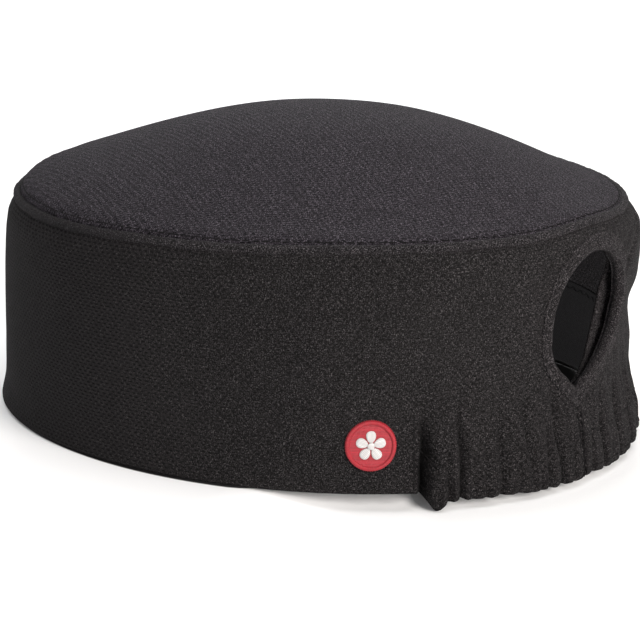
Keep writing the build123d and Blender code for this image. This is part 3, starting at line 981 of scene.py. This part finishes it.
def crown():
    nt = 288
    tc = np.arange(nt) * 360.0 / nt
    rh = np.concatenate([np.linspace(0.02, 0.86, 46), np.linspace(0.875, 1.0, 17)])
    nr = len(rh)
    T = np.repeat(tc, nr)
    R = np.tile(rh, nt)
    v = crown_point(T, R)
    faces = []
    for i in range(nt):
        k = (i + 1) % nt
        for j in range(nr - 1):
            faces.append((i * nr + j, i * nr + j + 1, k * nr + j + 1, k * nr + j))
    top = crown_point(np.array([0.0]), np.array([0.0]))
    v = np.vstack([v, top])
    ci = len(v) - 1
    for i in range(nt):
        faces.append((ci, i * nr, ((i + 1) % nt) * nr))
    # cloth coordinates: the flat panel seen from above, its rows running across the cap
    g = math.radians(-41.0)
    U = v[:, 0] * math.cos(g) + v[:, 1] * math.sin(g) + 300
    W = -v[:, 0] * math.sin(g) + v[:, 1] * math.cos(g) + 300
    uvs = [[(U[i], W[i]) for i in f] for f in faces]
    return sheet("crown_cloth", v, faces, uvs, 0.7)


cr = crown()
dress(cr, M_CROWN)
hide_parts("crown_panel")
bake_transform(cr)


# ---------------------------------------------------------------------------
# tubes: welt, binding, threads
# ---------------------------------------------------------------------------
def tube(name, centres, side, up, section, uv_scale=1.0, closed=True):
    """Closed tube: centres (n, 3), the section's two directions at each, and the section's (n, m, 2) points."""
    n, m = section.shape[0], section.shape[1]
    v = centres[:, None, :] + section[..., :1] * side[:, None, :] + section[..., 1:] * up[:, None, :]
    seg = np.linalg.norm(np.roll(centres, -1, 0) - centres, axis=1)
    u = np.concatenate([[0], np.cumsum(seg)])
    per = np.linalg.norm(np.roll(section[0], -1, 0) - section[0], axis=1)
    w = np.concatenate([[0], np.cumsum(per)])
    faces, uvs = [], []
    last = n if closed else n - 1
    for i in range(last):
        k = (i + 1) % n
        for j in range(m):
            l = (j + 1) % m
            faces.append((i * m + j, i * m + l, k * m + l, k * m + j))
            uvs.append([(u[i], w[j]), (u[i], w[j + 1]), (u[i + 1], w[j + 1]), (u[i + 1], w[j])])
    V = v.reshape(-1, 3)
    if not closed:
        for i, rev in ((0, False), (n - 1, True)):
            V = np.vstack([V, V[i * m:(i + 1) * m].mean(0)[None]])
            for j in range(m):
                f = (i * m + (j + 1) % m, i * m + j, len(V) - 1)
                faces.append(tuple(reversed(f)) if rev else f)
                uvs.append([(0, 0), (0.3, 0.3), (0.6, 0)])
    return V, faces, uvs


def sup(m, a, b, p=2.3, rot=0.0):
    """Superellipse section, m points."""
    k = np.arange(m) * 2 * math.pi / m
    c, s = np.cos(k), np.sin(k)
    x = a * np.sign(c) * np.abs(c) ** (2 / p)
    y = b * np.sign(s) * np.abs(s) ** (2 / p)
    return np.stack([x * math.cos(rot) - y * math.sin(rot), x * math.sin(rot) + y * math.cos(rot)], -1)


def orient(name, V, faces, uvs):
    """Turns a closed mesh's faces outwards if they came out inwards."""
    q = np.array([f if len(f) == 4 else (f[0], f[1], f[2], f[2]) for f in faces], int)
    a, b, c, d = V[q[:, 0]], V[q[:, 1]], V[q[:, 2]], V[q[:, 3]]
    vol = (a * np.cross(b, c)).sum() + (a * np.cross(c, d)).sum()
    if vol < 0:
        faces = [tuple(reversed(f)) for f in faces]
        uvs = [list(reversed(u)) for u in uvs]
    return new_mesh(name, V, faces, flat_uv(uvs))


def welt():
    n = 420
    t = np.arange(n) * 360.0 / n
    z = 65.35 + 0.06 * np.sin(t * 0.9) + 0.05 * np.sin(t * 2.7)
    off = 0.15 + 0.08 * fbm(np.cos(np.radians(t)) * 4, np.sin(np.radians(t)) * 4, 0, 5, 2)
    nrm = flat_normal(t, z)
    base = oval(t, z)
    c = base + nrm * (off - 0.15)[:, None] + nrm * 0.05
    c[:, 2] += rise(t)
    sec = np.zeros((n, 18, 2))
    for i in range(n):
        s = sup(18, 1.38, 1.32, 2.2)
        sc = 1 + 0.03 * math.sin(t[i] * 1.7) + 0.03 * math.sin(t[i] * 0.53 + 1)
        sec[i] = s * sc
    up = np.tile(np.array([0.0, 0.0, 1.0]), (n, 1))
    # lean the section in towards the crown
    side = nrm * 0.97 - up * 0.24
    up2 = up * 0.97 + nrm * 0.24
    V, f, u = tube("w", c, side, up2, sec)
    return orient("seam_welt", V, f, u)


w = welt()
dress(w, M_WELT)
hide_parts("crown_welt")
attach(w, "band")


# the crown seam's trimmed allowance, turned down inside
def allowance():
    n = 420
    t = np.arange(n) * 360.0 / n
    zs = np.linspace(56.6, 63.6, 8)
    rows = []
    for k, z in enumerate(zs):
        w_ = (zs[-1] - z) / (zs[-1] - zs[0])
        inn = 3.9 + 1.1 * w_ + 0.35 * w_ * np.sin(t * 1.21 + 2 * np.sin(t * 0.17))
        rows.append(band_point(t, np.full(n, z), inward=inn + stand(t, np.full(n, z)) * 0.25, fold=0.0))
    v = np.stack(rows, 1).reshape(-1, 3)
    m = len(zs)
    u = arc_u(t, 60.0)
    faces, uvs = [], []
    for i in range(n):
        j = (i + 1) % n
        for k in range(m - 1):
            faces.append((i * m + k, i * m + k + 1, j * m + k + 1, j * m + k))
            uvs.append([(u[i], zs[k]), (u[i], zs[k + 1]), (u[i + 1], zs[k + 1]), (u[i + 1], zs[k])])
    return sheet("seam_allowance", v, faces, uvs, 0.6)


al = allowance()
dress(al, M_IN)
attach(al, "band")


def stitches(name, pts, nrm, length=2.5, gap=0.55, r=0.23, sink=0.12, arch=0.16, sides=7, closed=False, zigzag=0.0, side_vec=None):
    """One mesh of separate stitches laid along a path on cloth."""
    pts = np.asarray(pts, float)
    nrm = np.asarray(nrm, float)
    if closed:
        pts = np.vstack([pts, pts[:1]])
        nrm = np.vstack([nrm, nrm[:1]])
    seg = np.linalg.norm(np.diff(pts, axis=0), axis=1)
    s = np.concatenate([[0], np.cumsum(seg)])
    total = s[-1]
    count = max(1, int(total / (length + gap)))
    pitch = total / count
    V, F, U = [], [], []
    prof = [(0.0, 0.35), (0.06, 0.8), (0.25, 1.0), (0.5, 1.04), (0.75, 1.0), (0.94, 0.8), (1.0, 0.35)]
    for i in range(count):
        a = i * pitch + gap * 0.5
        b = (i + 1) * pitch - gap * 0.5
        c, n = [], []
        jit = RNG.uniform(-0.05, 0.05)
        for k, (w_, q) in enumerate(prof):
            x = a + (b - a) * w_
            p = np.array([np.interp(x, s, pts[:, d]) for d in range(3)])
            m = np.array([np.interp(x, s, nrm[:, d]) for d in range(3)])
            m /= np.linalg.norm(m)
            lift = -sink * 2.2 if k in (0, len(prof) - 1) else (arch * math.sin(math.pi * w_) + r * 0.35 - sink * 0.3)
            if zigzag:
                tan = np.array([np.interp(min(total, x + 0.2), s, pts[:, d]) - np.interp(max(0, x - 0.2), s, pts[:, d]) for d in range(3)])
                sd = np.cross(m, tan)
                sd /= np.linalg.norm(sd)
                p = p + sd * zigzag * ((w_ - 0.5) * 2 * (1 if i % 2 else -1))
            c.append(p + m * lift)
            n.append(m)
        c, n = np.array(c), np.array(n)
        tang = np.gradient(c, axis=0)
        tang /= np.linalg.norm(tang, axis=1, keepdims=True)
        sd = np.cross(n, tang)
        sd /= np.linalg.norm(sd, axis=1, keepdims=True)
        up = np.cross(tang, sd)
        sec = np.zeros((len(prof), sides, 2))
        for k, (w_, q) in enumerate(prof):
            sec[k] = sup(sides, r * q, r * q * 0.9, 2.0, jit)
        v, f, u = tube("s", c, sd, up, sec, closed=False)
        base = sum(len(x) for x in V)
        V.append(v)
        F += [tuple(j + base for j in g) for g in f]
        U += u
    V = np.vstack(V)
    return orient(name, V, F, U)


def line_on_band(t, z, inward=0.0, fold=1.0, flip=False):
    p = band_point(t, z, inward=inward, fold=fold)
    n = flat_normal(t, z)
    return p, (-n if flip else n)


# seam thread in the groove beside the welt
t = np.arange(720) * 0.5
gp = crown_point(t, np.full(720, 0.9905))
gn = flat_normal(t, np.full(720, 66.0)) * 0.5 + np.array([0, 0, 0.86])
seam_thread = stitches("crown_seam_stitches", gp, gn, length=2.3, gap=0.5, r=0.17, sink=0.1, arch=0.05, closed=True, sides=6)
dress(seam_thread, M_THREAD)
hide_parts("crown_seam_thread")
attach(seam_thread, "band")

# stitch rows across the gathers
tt = np.arange(TACK + 0.8, 180 - TACK - 0.8, 0.25)
for nm, z, node, r in (("tunnel_stitches_top", 11.3, "casing_stitch_upper", 0.2), ("tunnel_stitches_hem", 2.4, "casing_stitch_lower", 0.2)):
    keep = (np.abs(tt - 88.2) > 0.9)
    p, n = line_on_band(tt, np.full(len(tt), z))
    ob = stitches(nm, p, n, length=2.2, gap=0.55, r=0.16, arch=0.05, sides=6)
    dress(ob, M_THREAD)
    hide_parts(node)
    blend_back(ob)

# centre back seam: two rows beside a closed seam line, below the opening
parts = []
zz = np.linspace(0.6, 17.0, 60)
cb_t = 87.6
V, F, U = [], [], []
for dt in (-0.75, 0.75):
    p, n = line_on_band(np.full(60, cb_t + dt), zz)
    ob = stitches("cb", p, n, length=2.0, gap=0.5, r=0.19, sides=6)
    parts.append(ob)
bpy.ops.object.select_all(action="DESELECT")
for ob in parts:
    ob.select_set(True)
bpy.context.view_layer.objects.active = parts[0]
bpy.ops.object.join()
cb = bpy.context.view_layer.objects.active
cb.name = "centre_back_stitches"
dress(cb, M_THREAD)
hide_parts("centre_back_seam")
blend_back(cb)

# tacks that hold the elastic's ends: close zigzag bars
parts = []
for tk in (TACK - 0.55, 180 - TACK + 0.55):
    zz = np.linspace(1.4, 20.5, 90)
    p, n = line_on_band(np.full(90, tk), zz)
    parts.append(stitches("tk", p, n, length=0.62, gap=0.0, r=0.13, sink=0.05, arch=0.04, sides=6, zigzag=0.30))
bpy.ops.object.select_all(action="DESELECT")
for ob in parts:
    ob.select_set(True)
bpy.context.view_layer.objects.active = parts[0]
bpy.ops.object.join()
tk = bpy.context.view_layer.objects.active
tk.name = "elastic_bar_tacks"
dress(tk, M_THREAD)
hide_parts("elastic_tacks")
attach(tk, "band")

# sweatband's top stitching, a zigzag over its edge
tc = front_cols[::1]
tfine = np.linspace(front_cols[0] + 1.0, front_cols[-1] - 1.0, 700)
p, n = line_on_band(tfine, np.full(700, 27.6), inward=4.35, fold=0.0, flip=True)
sw = stitches("sweatband_stitches", p, n, length=2.2, gap=0.1, r=0.13, arch=0.05, sides=6, zigzag=0.5)
dress(sw, M_THREAD_IN)
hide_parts("sweatband_stitch")
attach(sw, "band")


# ---------------------------------------------------------------------------
# keyhole binding, its thread and its facing
# ---------------------------------------------------------------------------
def opening_frame(n, grow):
    """Points on the band round the opening, with outward-from-hole direction and surface normal."""
    o = hole_outline(n, grow)
    o2 = hole_outline(n, grow + 0.5)
    t1, t2 = t_of_x(o[:, 0], o[:, 1]), t_of_x(o2[:, 0], o2[:, 1])
    p = band_point(t1, o[:, 1])
    q = band_point(t2, o2[:, 1])
    nr = flat_normal(t1, o[:, 1])
    d = q - p
    tan = np.roll(p, -1, 0) - np.roll(p, 1, 0)
    tan /= np.linalg.norm(tan, axis=1, keepdims=True)
    d = d - (d * tan).sum(1, keepdims=True) * tan
    d /= np.linalg.norm(d, axis=1, keepdims=True)
    nr = np.cross(tan, d)
    nr *= np.sign((nr * flat_normal(t1, o[:, 1])).sum(1, keepdims=True))
    nr /= np.linalg.norm(nr, axis=1, keepdims=True)
    return o, p, d, nr


def smooth_loop(a, k=6):
    for _ in range(k):
        a = (np.roll(a, 1, 0) + 2 * a + np.roll(a, -1, 0)) / 4
    return a


def binding():
    """Bound edge of the opening: a narrow roll at the hole, then a flat strip that ends in a soft step."""
    n = 280
    o = hole_outline(n)
    k = np.arange(n)
    foot = np.exp(-((((k + n // 2) % n) - n // 2) / 20.0) ** 2)
    right = ss(2.0, -15.0, o[:, 0])                       # the wearer's right side stands out more
    top = ss(46.0, 57.0, o[:, 1])
    wid = 3.3 + 1.0 * foot + 1.5 * right + 0.7 * top      # width of the strip
    wid = smooth_loop(wid, 6)
    # the profile, from behind the edge, round the roll, over the strip and down at its outer step
    prof = [(2.3, -1.9), (1.2, -2.0), (0.35, -1.8), (-0.25, -1.2), (-0.42, -0.45), (-0.22, 0.28), (0.22, 0.82), (0.70, 0.98),
            (1.15, 0.78), (1.55, 0.46), (2.0, 0.40)]
    outer_ = [(-1.15, 0.44), (-0.78, 0.36), (-0.42, 0.52), (-0.12, 0.42), (0.05, 0.10), (0.05, -0.6)]
    m = len(prof) + len(outer_) + 1
    rows = []
    for j in range(m):
        if j < len(prof):
            g, h = prof[j]
            grow = np.full(n, g)
        elif j < len(prof) + len(outer_):
            g, h = outer_[j - len(prof)]
            grow = wid + g
        else:
            grow, h = wid * 0.75, -1.5
        h = np.full(n, h)
        if 4 <= j <= 14:
            h = h + 0.40 * right * (1 if j < 9 else 0.6) + 0.07 * np.sin(k * 0.93 + 0.8 * np.sin(k * 0.2)) + 0.05 * np.sin(k * 0.31 + 1)
        grow = grow + 0.07 * np.sin(k * 0.47 + 2) + (0.05 * np.sin(k * 1.3) if j > 10 else 0)
        rows.append((grow, h))
    base = hole_outline(n, 0.0)
    out = hole_outline(n, 1.0) - base
    out /= np.linalg.norm(out, axis=1, keepdims=True)
    out = smooth_loop(out, 3)
    tb = t_of_x(base[:, 0], base[:, 1])
    nr = flat_normal(tb, base[:, 1])
    ring = []
    for grow, h in rows:
        q = base + out * grow[:, None]
        t1 = t_of_x(q[:, 0], q[:, 1])
        p = band_point(t1, q[:, 1])
        ring.append(p + flat_normal(t1, q[:, 1]) * h[:, None])
    v = np.stack(ring, 1)
    for _ in range(2):
        v = (np.roll(v, 1, 0) + 2 * v + np.roll(v, -1, 0)) / 4
    seg = np.linalg.norm(np.roll(v[:, 7], -1, 0) - v[:, 7], axis=1)
    u = np.concatenate([[0], np.cumsum(seg)])
    per = np.linalg.norm(np.roll(v[0], -1, 0) - v[0], axis=1)
    w = np.concatenate([[0], np.cumsum(per)])
    faces, uvs = [], []
    for i in range(n):
        i2 = (i + 1) % n
        for j in range(m):
            j2 = (j + 1) % m
            faces.append((i * m + j, i * m + j2, i2 * m + j2, i2 * m + j))
            uvs.append([(u[i], w[j]), (u[i], w[j + 1]), (u[i + 1], w[j + 1]), (u[i + 1], w[j])])
    ob = orient("opening_binding", v.reshape(-1, 3), faces, uvs)
    sub = ob.modifiers.new("smooth", "SUBSURF")
    sub.levels = sub.render_levels = 1
    bpy.context.view_layer.objects.active = ob
    bpy.ops.object.modifier_apply(modifier="smooth")
    return ob


bind = binding()
dress(bind, M_BIND)
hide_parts("keyhole_binding")
blend_back(bind)

o, p, d, nr = opening_frame(300, 2.55)
p, nr = smooth_loop(p, 3), smooth_loop(nr, 6)
bt = stitches("opening_stitches", p + nr * 0.36, nr, length=2.1, gap=0.55, r=0.15, arch=0.06, sides=6, closed=True)
dress(bt, M_THREAD)
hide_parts("keyhole_topstitch")
blend_back(bt)


def facing():
    """Facing of the opening: a strip behind the edge. On the wearer's right it hangs loose and stands away from the edge."""
    n = 240
    o0 = hole_outline(n, 0.0)
    free = ss(6.0, -9.0, o0[:, 0] - 5.0 * ss(40, 22, o0[:, 1])) * (1 - ss(43, 52, o0[:, 1])) * (0.30 + 0.70 * ss(24, 38, o0[:, 1]))
    free = smooth_loop(free, 8)
    rows, gl = [], []
    k = np.arange(n)
    for j in range(13):
        w_ = j / 12.0
        grow = 9.0 + (2.6 - 9.0) * w_ - free * 2.3 * w_ ** 2
        depth = 3.9 + 0.4 * w_ + free * 2.3 * w_ ** 1.3 + 0.22 * np.sin(k * 2 * math.pi / n * 6 + 1.0) * w_
        o = np.array([[0.0, 0.0]] * n)
        out = hole_outline(n, 1.0) - o0
        out /= np.linalg.norm(out, axis=1, keepdims=True)
        o = o0 + smooth_loop(out, 3) * grow[:, None]
        z = np.clip(o[:, 1], 15.9, 60.8)
        t1 = t_of_x(o[:, 0], z)
        rows.append(band_point(t1, z, inward=depth, fold=0.5))
        gl.append(w_ * 8.0)
    last = rows[-1]
    prev = rows[-2]
    step = last - prev
    step /= np.maximum(np.linalg.norm(step, axis=1, keepdims=True), 1e-6)
    v = np.stack(rows, 1).reshape(-1, 3)
    m = len(rows)
    seg = np.linalg.norm(np.roll(rows[6], -1, 0) - rows[6], axis=1)
    u = np.concatenate([[0], np.cumsum(seg)])
    faces, uvs = [], []
    for i in range(n):
        j = (i + 1) % n
        for r in range(m - 1):
            faces.append((i * m + r, j * m + r, j * m + r + 1, i * m + r + 1))
            uvs.append([(u[i], gl[r]), (u[i + 1], gl[r]), (u[i + 1], gl[r + 1]), (u[i], gl[r + 1])])
    return sheet("opening_facing", v, faces, uvs, 0.95)


fc = facing()
dress(fc, M_BIND)
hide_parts("keyhole_facing")
blend_back(fc)


# ---------------------------------------------------------------------------
# badge: satin-stitched disc, edge and a plain five-petal flower
# ---------------------------------------------------------------------------
def on_badge(x, y, h):
    """Point on the band under badge coordinates (x across, y up, in mm), lifted by h."""
    t0 = np.radians(BADGE_T)
    s0 = oval(BADGE_T + 0.5, BADGE_Z) - oval(BADGE_T - 0.5, BADGE_Z)
    per = np.linalg.norm(s0)
    t = BADGE_T + np.asarray(x) / per
    z = BADGE_Z + np.asarray(y)
    n = flat_normal(t, z)
    return band_point(t, z) + n * np.asarray(h)[..., None]


def disc(name, radius, pitch, base, rise, tilt=0.0):
    n = 96
    g = np.linspace(-radius, radius, n)
    X, Y = np.meshgrid(g, g, indexing="ij")
    R = np.hypot(X, Y)
    # map the square to the disc so that the rim is clean
    k = np.maximum(np.abs(X), np.abs(Y)) / np.maximum(R, 1e-9)
    X, Y = X * k, Y * k
    R = np.hypot(X, Y)
    V_ = Y * math.cos(tilt) - X * math.sin(tilt)
    U_ = X * math.cos(tilt) + Y * math.sin(tilt)
    row = np.floor(V_ / pitch)
    w = (V_ / pitch) % 1.0
    brk = ((U_ + row * 1.37) / 2.9) % 1.0
    h = base + rise * np.sqrt(np.clip(1 - (2 * w - 1) ** 2, 0, 1)) * (1 - 0.75 * np.exp(-((brk - 0.5) / 0.045) ** 2))
    P = on_badge(X.ravel(), Y.ravel(), h.ravel())
    faces, uvs = [], []
    U1, V1 = U_.ravel(), V_.ravel()
    for i in range(n - 1):
        for j in range(n - 1):
            f = (i * n + j, (i + 1) * n + j, (i + 1) * n + j + 1, i * n + j + 1)
            faces.append(f)
            uvs.append([(U1[q] + 20, V1[q] + 20) for q in f])
    back = on_badge(X.ravel(), Y.ravel(), np.full(n * n, -0.25))
    v2, f2, u2 = thicken(P, faces, uvs, back)
    return orient(name, v2, f2, u2)


ground = disc("badge_field", 5.95, 0.42, 0.42, 0.17)
dress(ground, M_RED)
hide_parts("badge_ground")
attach(ground, "band")


def edge_ring():
    n, m = 720, 12
    a = np.arange(n) * 2 * math.pi / n
    strands = 132
    ripple = np.abs(np.cos(a * strands / 2))
    rows, back = [], []
    rad = np.linspace(5.55, 6.85, m)
    for r in rad:
        q = (r - 6.2) / 0.65
        h = 0.15 + 0.75 * math.sqrt(max(0.0, 1 - min(1, abs(q)) ** 2.6)) + 0.09 * ripple
        # stitches slant slightly and end unevenly
        rr = r + 0.05 * np.sin(a * strands / 2) * (1 if abs(q) > 0.8 else 0)
        rows.append(on_badge(rr * np.cos(a + q * 0.02), rr * np.sin(a + q * 0.02), h))
        back.append(on_badge(rr * np.cos(a + q * 0.02), rr * np.sin(a + q * 0.02), np.full(n, -0.25)))
    v = np.stack(rows, 1).reshape(-1, 3)
    b = np.stack(back, 1).reshape(-1, 3)
    faces, uvs = [], []
    for i in range(n):
        j = (i + 1) % n
        for k in range(m - 1):
            faces.append((i * m + k, i * m + k + 1, j * m + k + 1, j * m + k))
            s0, s1 = i * strands / n * 0.42, (i + 1) * strands / n * 0.42
            uvs.append([(rad[k], s0), (rad[k + 1], s0), (rad[k + 1], s1), (rad[k], s1)])
    v2, f2, u2 = thicken(v, faces, uvs, b)
    return orient("badge_edge", v2, f2, u2)


er = edge_ring()
dress(er, M_EDGE)
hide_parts("badge_border")
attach(er, "band")


def flower():
    V, F, U = [], [], []
    shapes = []
    for k in range(5):
        a = math.radians(90 + 72 * k)
        shapes.append((2.45 * math.cos(a), 2.45 * math.sin(a), a, 1.62, 1.28, 0.0))
    shapes.append((0, 0, 0, 0.95, 0.95, 0.18))
    for cx, cy, ang, ra, rb, up in shapes:
        n = 44
        g = np.linspace(-1, 1, n)
        X, Y = np.meshgrid(g, g, indexing="ij")
        R = np.hypot(X, Y)
        k = np.maximum(np.abs(X), np.abs(Y)) / np.maximum(R, 1e-9)
        X, Y = X * k, Y * k
        R = np.clip(np.hypot(X, Y), 0, 1)
        # petals are broader at their outer end
        x, y = X * ra, Y * rb * (1 + 0.22 * X)
        w = (y / 0.36) % 1.0
        h = 0.62 + up + 0.34 * np.sqrt(np.clip(1 - R ** 2.4, 0, 1)) + 0.12 * np.sqrt(np.clip(1 - (2 * w - 1) ** 2, 0, 1))
        wx = cx + x * math.cos(ang) - y * math.sin(ang)
        wy = cy + x * math.sin(ang) + y * math.cos(ang)
        P = on_badge(wx.ravel(), wy.ravel(), h.ravel())
        Bk = on_badge(wx.ravel(), wy.ravel(), np.full(n * n, 0.3))
        faces, uvs = [], []
        u1, v1 = x.ravel(), y.ravel()
        for i in range(n - 1):
            for j in range(n - 1):
                f = (i * n + j, (i + 1) * n + j, (i + 1) * n + j + 1, i * n + j + 1)
                faces.append(f)
                uvs.append([(u1[q] + 10 + cx, v1[q] * 0.42 / 0.36 + 10) for q in f])
        v2, f2, u2 = thicken(P, faces, uvs, Bk)
        base = sum(len(q) for q in V)
        V.append(v2)
        F += [tuple(q + base for q in f) for f in f2]
        U += u2
    return orient("badge_flower", np.vstack(V), F, U)


fl = flower()
dress(fl, M_WHITE)
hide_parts("badge_motif")
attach(fl, "band")


# blank care label, folded, caught under the sweatband's top edge
def label():
    n, m = 28, 44
    w, l = 13.0, 27.0
    c0 = 178.0
    per = np.linalg.norm(oval(c0 + 0.5, 25) - oval(c0 - 0.5, 25))
    rows = []
    for i in range(n):
        x = (i / (n - 1) - 0.5) * w
        col = []
        for j in range(m):
            s = j / (m - 1) * l
            z = 30.5 - s * 0.86
            inn = 4.2 + 1.3 * ss(0, 6, s) + 0.9 * math.sin(min(1, s / l) * math.pi * 0.9) + 0.35 * math.sin(x * 0.35 + s * 0.12) + 1.6 * ss(18, 30, s)
            p = band_point(np.array([c0 + x / per]), np.array([z]), inward=float(inn), fold=0.0)[0]
            col.append(p)
        rows.append(col)
    v = np.array(rows).reshape(-1, 3)
    faces, uvs = [], []
    for i in range(n - 1):
        for j in range(m - 1):
            faces.append((i * m + j, i * m + j + 1, (i + 1) * m + j + 1, (i + 1) * m + j))
            uvs.append([(i * w / n, j * l / m), (i * w / n, (j + 1) * l / m), ((i + 1) * w / n, (j + 1) * l / m), ((i + 1) * w / n, j * l / m)])
    return sheet("blank_label", v, faces, uvs, 0.22)


lb = label()
dress(lb, M_LABEL)
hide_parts("care_label")
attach(lb, "band")


# ---------------------------------------------------------------------------
# floor, light, camera
# ---------------------------------------------------------------------------
def floor():
    """Pale floor. It dips a few millimetres behind, where the elastic hem hangs lower than the front hem that it stands on."""
    lo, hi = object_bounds()
    z = lo.z * 1000 - 0.15
    n = 260
    g = np.sign(np.linspace(-1, 1, n + 1)) * np.abs(np.linspace(-1, 1, n + 1)) ** 2.2 * 2600.0
    X, Y = np.meshgrid(g, g, indexing="ij")
    R = np.hypot(X / (A0 - 6.0), Y / (B0 - 6.0))
    Rb = np.hypot(X / A0, Y / B0)
    dip = ss(40, 66, Y) * ss(0.90, 0.985, R) * (1 - ss(1.45, 2.1, Rb))
    Z = -0.2 + (z + 0.2) * dip
    v = np.stack([X.ravel(), Y.ravel(), Z.ravel()], -1)
    f = []
    for i in range(n):
        for j in range(n):
            a = i * (n + 1) + j
            f.append((a, a + n + 1, a + n + 2, a + 1))
    ob = new_mesh("studio_floor", v, f, None)
    k = Nodes("floor_pale")
    obj = k.obj()
    s = k.noise(obj, 3.0, 2.0)
    col = k.mix(s, (0.83, 0.83, 0.83), (0.85, 0.85, 0.85))
    # painted shadow: the floor is coloured dark under the cap and in a thin ring just outside its hem, standing in for
    # the shade inside the cap and for its contact shadow
    pos = k.new("ShaderNodeSeparateXYZ")
    k.link(obj, pos.inputs[0])
    ex = k.m("DIVIDE", pos.outputs[0], A0 * MM)
    ey = k.m("DIVIDE", pos.outputs[1], B0 * MM)
    rr = k.m("SQRT", k.m("ADD", k.m("MULTIPLY", ex, ex), k.m("MULTIPLY", ey, ey)))
    rr = k.m("ADD", rr, k.m("MULTIPLY", k.smooth(pos.outputs[1], 0.036, 0.060, 0.0, 0.13), k.smooth(pos.outputs[0], -0.035, 0.0)))
    rr = k.m("ADD", rr, k.m("MULTIPLY", k.smooth(pos.outputs[1], 0.048, 0.058, 0.0, 0.16), k.smooth(pos.outputs[0], 0.0, -0.035)))
    col = k.mix(k.smooth(rr, 0.997, 1.007), (0.022, 0.021, 0.0215), col)
    k.finish(col, 0.75, None, 0, 0.5, 0.10)
    ob.data.materials.append(k.mat)
    ob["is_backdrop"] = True
    return ob


ground_plane = floor()

world = bpy.data.worlds.new("studio")
bpy.context.scene.world = world
world.use_nodes = True
wn = world.node_tree.nodes
wn["Background"].inputs[0].default_value = (1.0, 1.0, 1.0, 1)
wn["Background"].inputs[1].default_value = 0.44
bpy.context.scene.view_settings.view_transform = "Standard"
bpy.context.scene.view_settings.look = "None"


def area(name, loc, target, size, power, color=(1, 1, 1), size_y=None):
    d = bpy.data.lights.new(name, "AREA")
    d.shape = "RECTANGLE"
    d.size = size
    d.size_y = size_y or size
    d.energy = power
    d.color = color
    o = bpy.data.objects.new(name, d)
    o.location = loc
    o.rotation_mode = "QUATERNION"
    o.rotation_quaternion = (Vector(target) - Vector(loc)).to_track_quat("-Z", "Y")
    bpy.context.scene.collection.objects.link(o)
    return o


PHI = 0.6983
cd = Vector((math.cos(PHI), math.sin(PHI), 0))          # towards the camera
rt = Vector((-math.sin(PHI), math.cos(PHI), 0))         # to the picture's right
ctr = Vector((0, 0, 0.04))
area("overhead", ctr + Vector((0, 0, 1.5)) - cd * 0.2, ctr, 2.0, 21.0)
area("key_right", ctr + cd * 1.05 + rt * 0.72 + Vector((0, 0, 0.45)), ctr, 0.6, 25.0, (1.0, 0.955, 0.92))
area("rim_left", ctr - rt * 1.3 - cd * 0.05 + Vector((0, 0, 0.30)), ctr, 0.6, 5.5, (0.98, 0.96, 1.0))
area("back_top", ctr - cd * 1.4 + Vector((0, 0, 0.65)), ctr, 0.9, 10.0)

# faint fill inside the cap
pl = bpy.data.lights.new("inner_fill", "POINT")
pl.energy = 0.08
pl.shadow_soft_size = 0.02
po = bpy.data.objects.new("inner_fill", pl)
po.location = (0.0, 0.0, 0.040)
po.visible_camera = False
bpy.context.scene.collection.objects.link(po)

cam_d = bpy.data.cameras.new("camera")
cam = bpy.data.objects.new("camera", cam_d)
bpy.context.scene.collection.objects.link(cam)
cam.location = (0.70422 * math.cos(PHI), 0.70422 * math.sin(PHI), 0.20866)
cam.rotation_mode = "QUATERNION"
cam.rotation_quaternion = (Vector((0, 0, 0.033)) - cam.location).to_track_quat("-Z", "Y")
cam_d.sensor_width = 36.0
cam_d.lens = 36.0 * 2423.1 / 640
cam_d.shift_x = (320 - 314.46) / 640
cam_d.shift_y = (291.37 - 320) / 640
cam_d.clip_start = 0.05
cam_d.clip_end = 20
bpy.context.scene.camera = cam

# seen from below, the floor would hide the cap
drv = ground_plane.driver_add("hide_render").driver
var = drv.variables.new()
var.name = "h"
var.type = "TRANSFORMS"
var.targets[0].id = cam
var.targets[0].transform_type = "LOC_Z"
var.targets[0].transform_space = "WORLD_SPACE"
drv.expression = "h < -0.01"
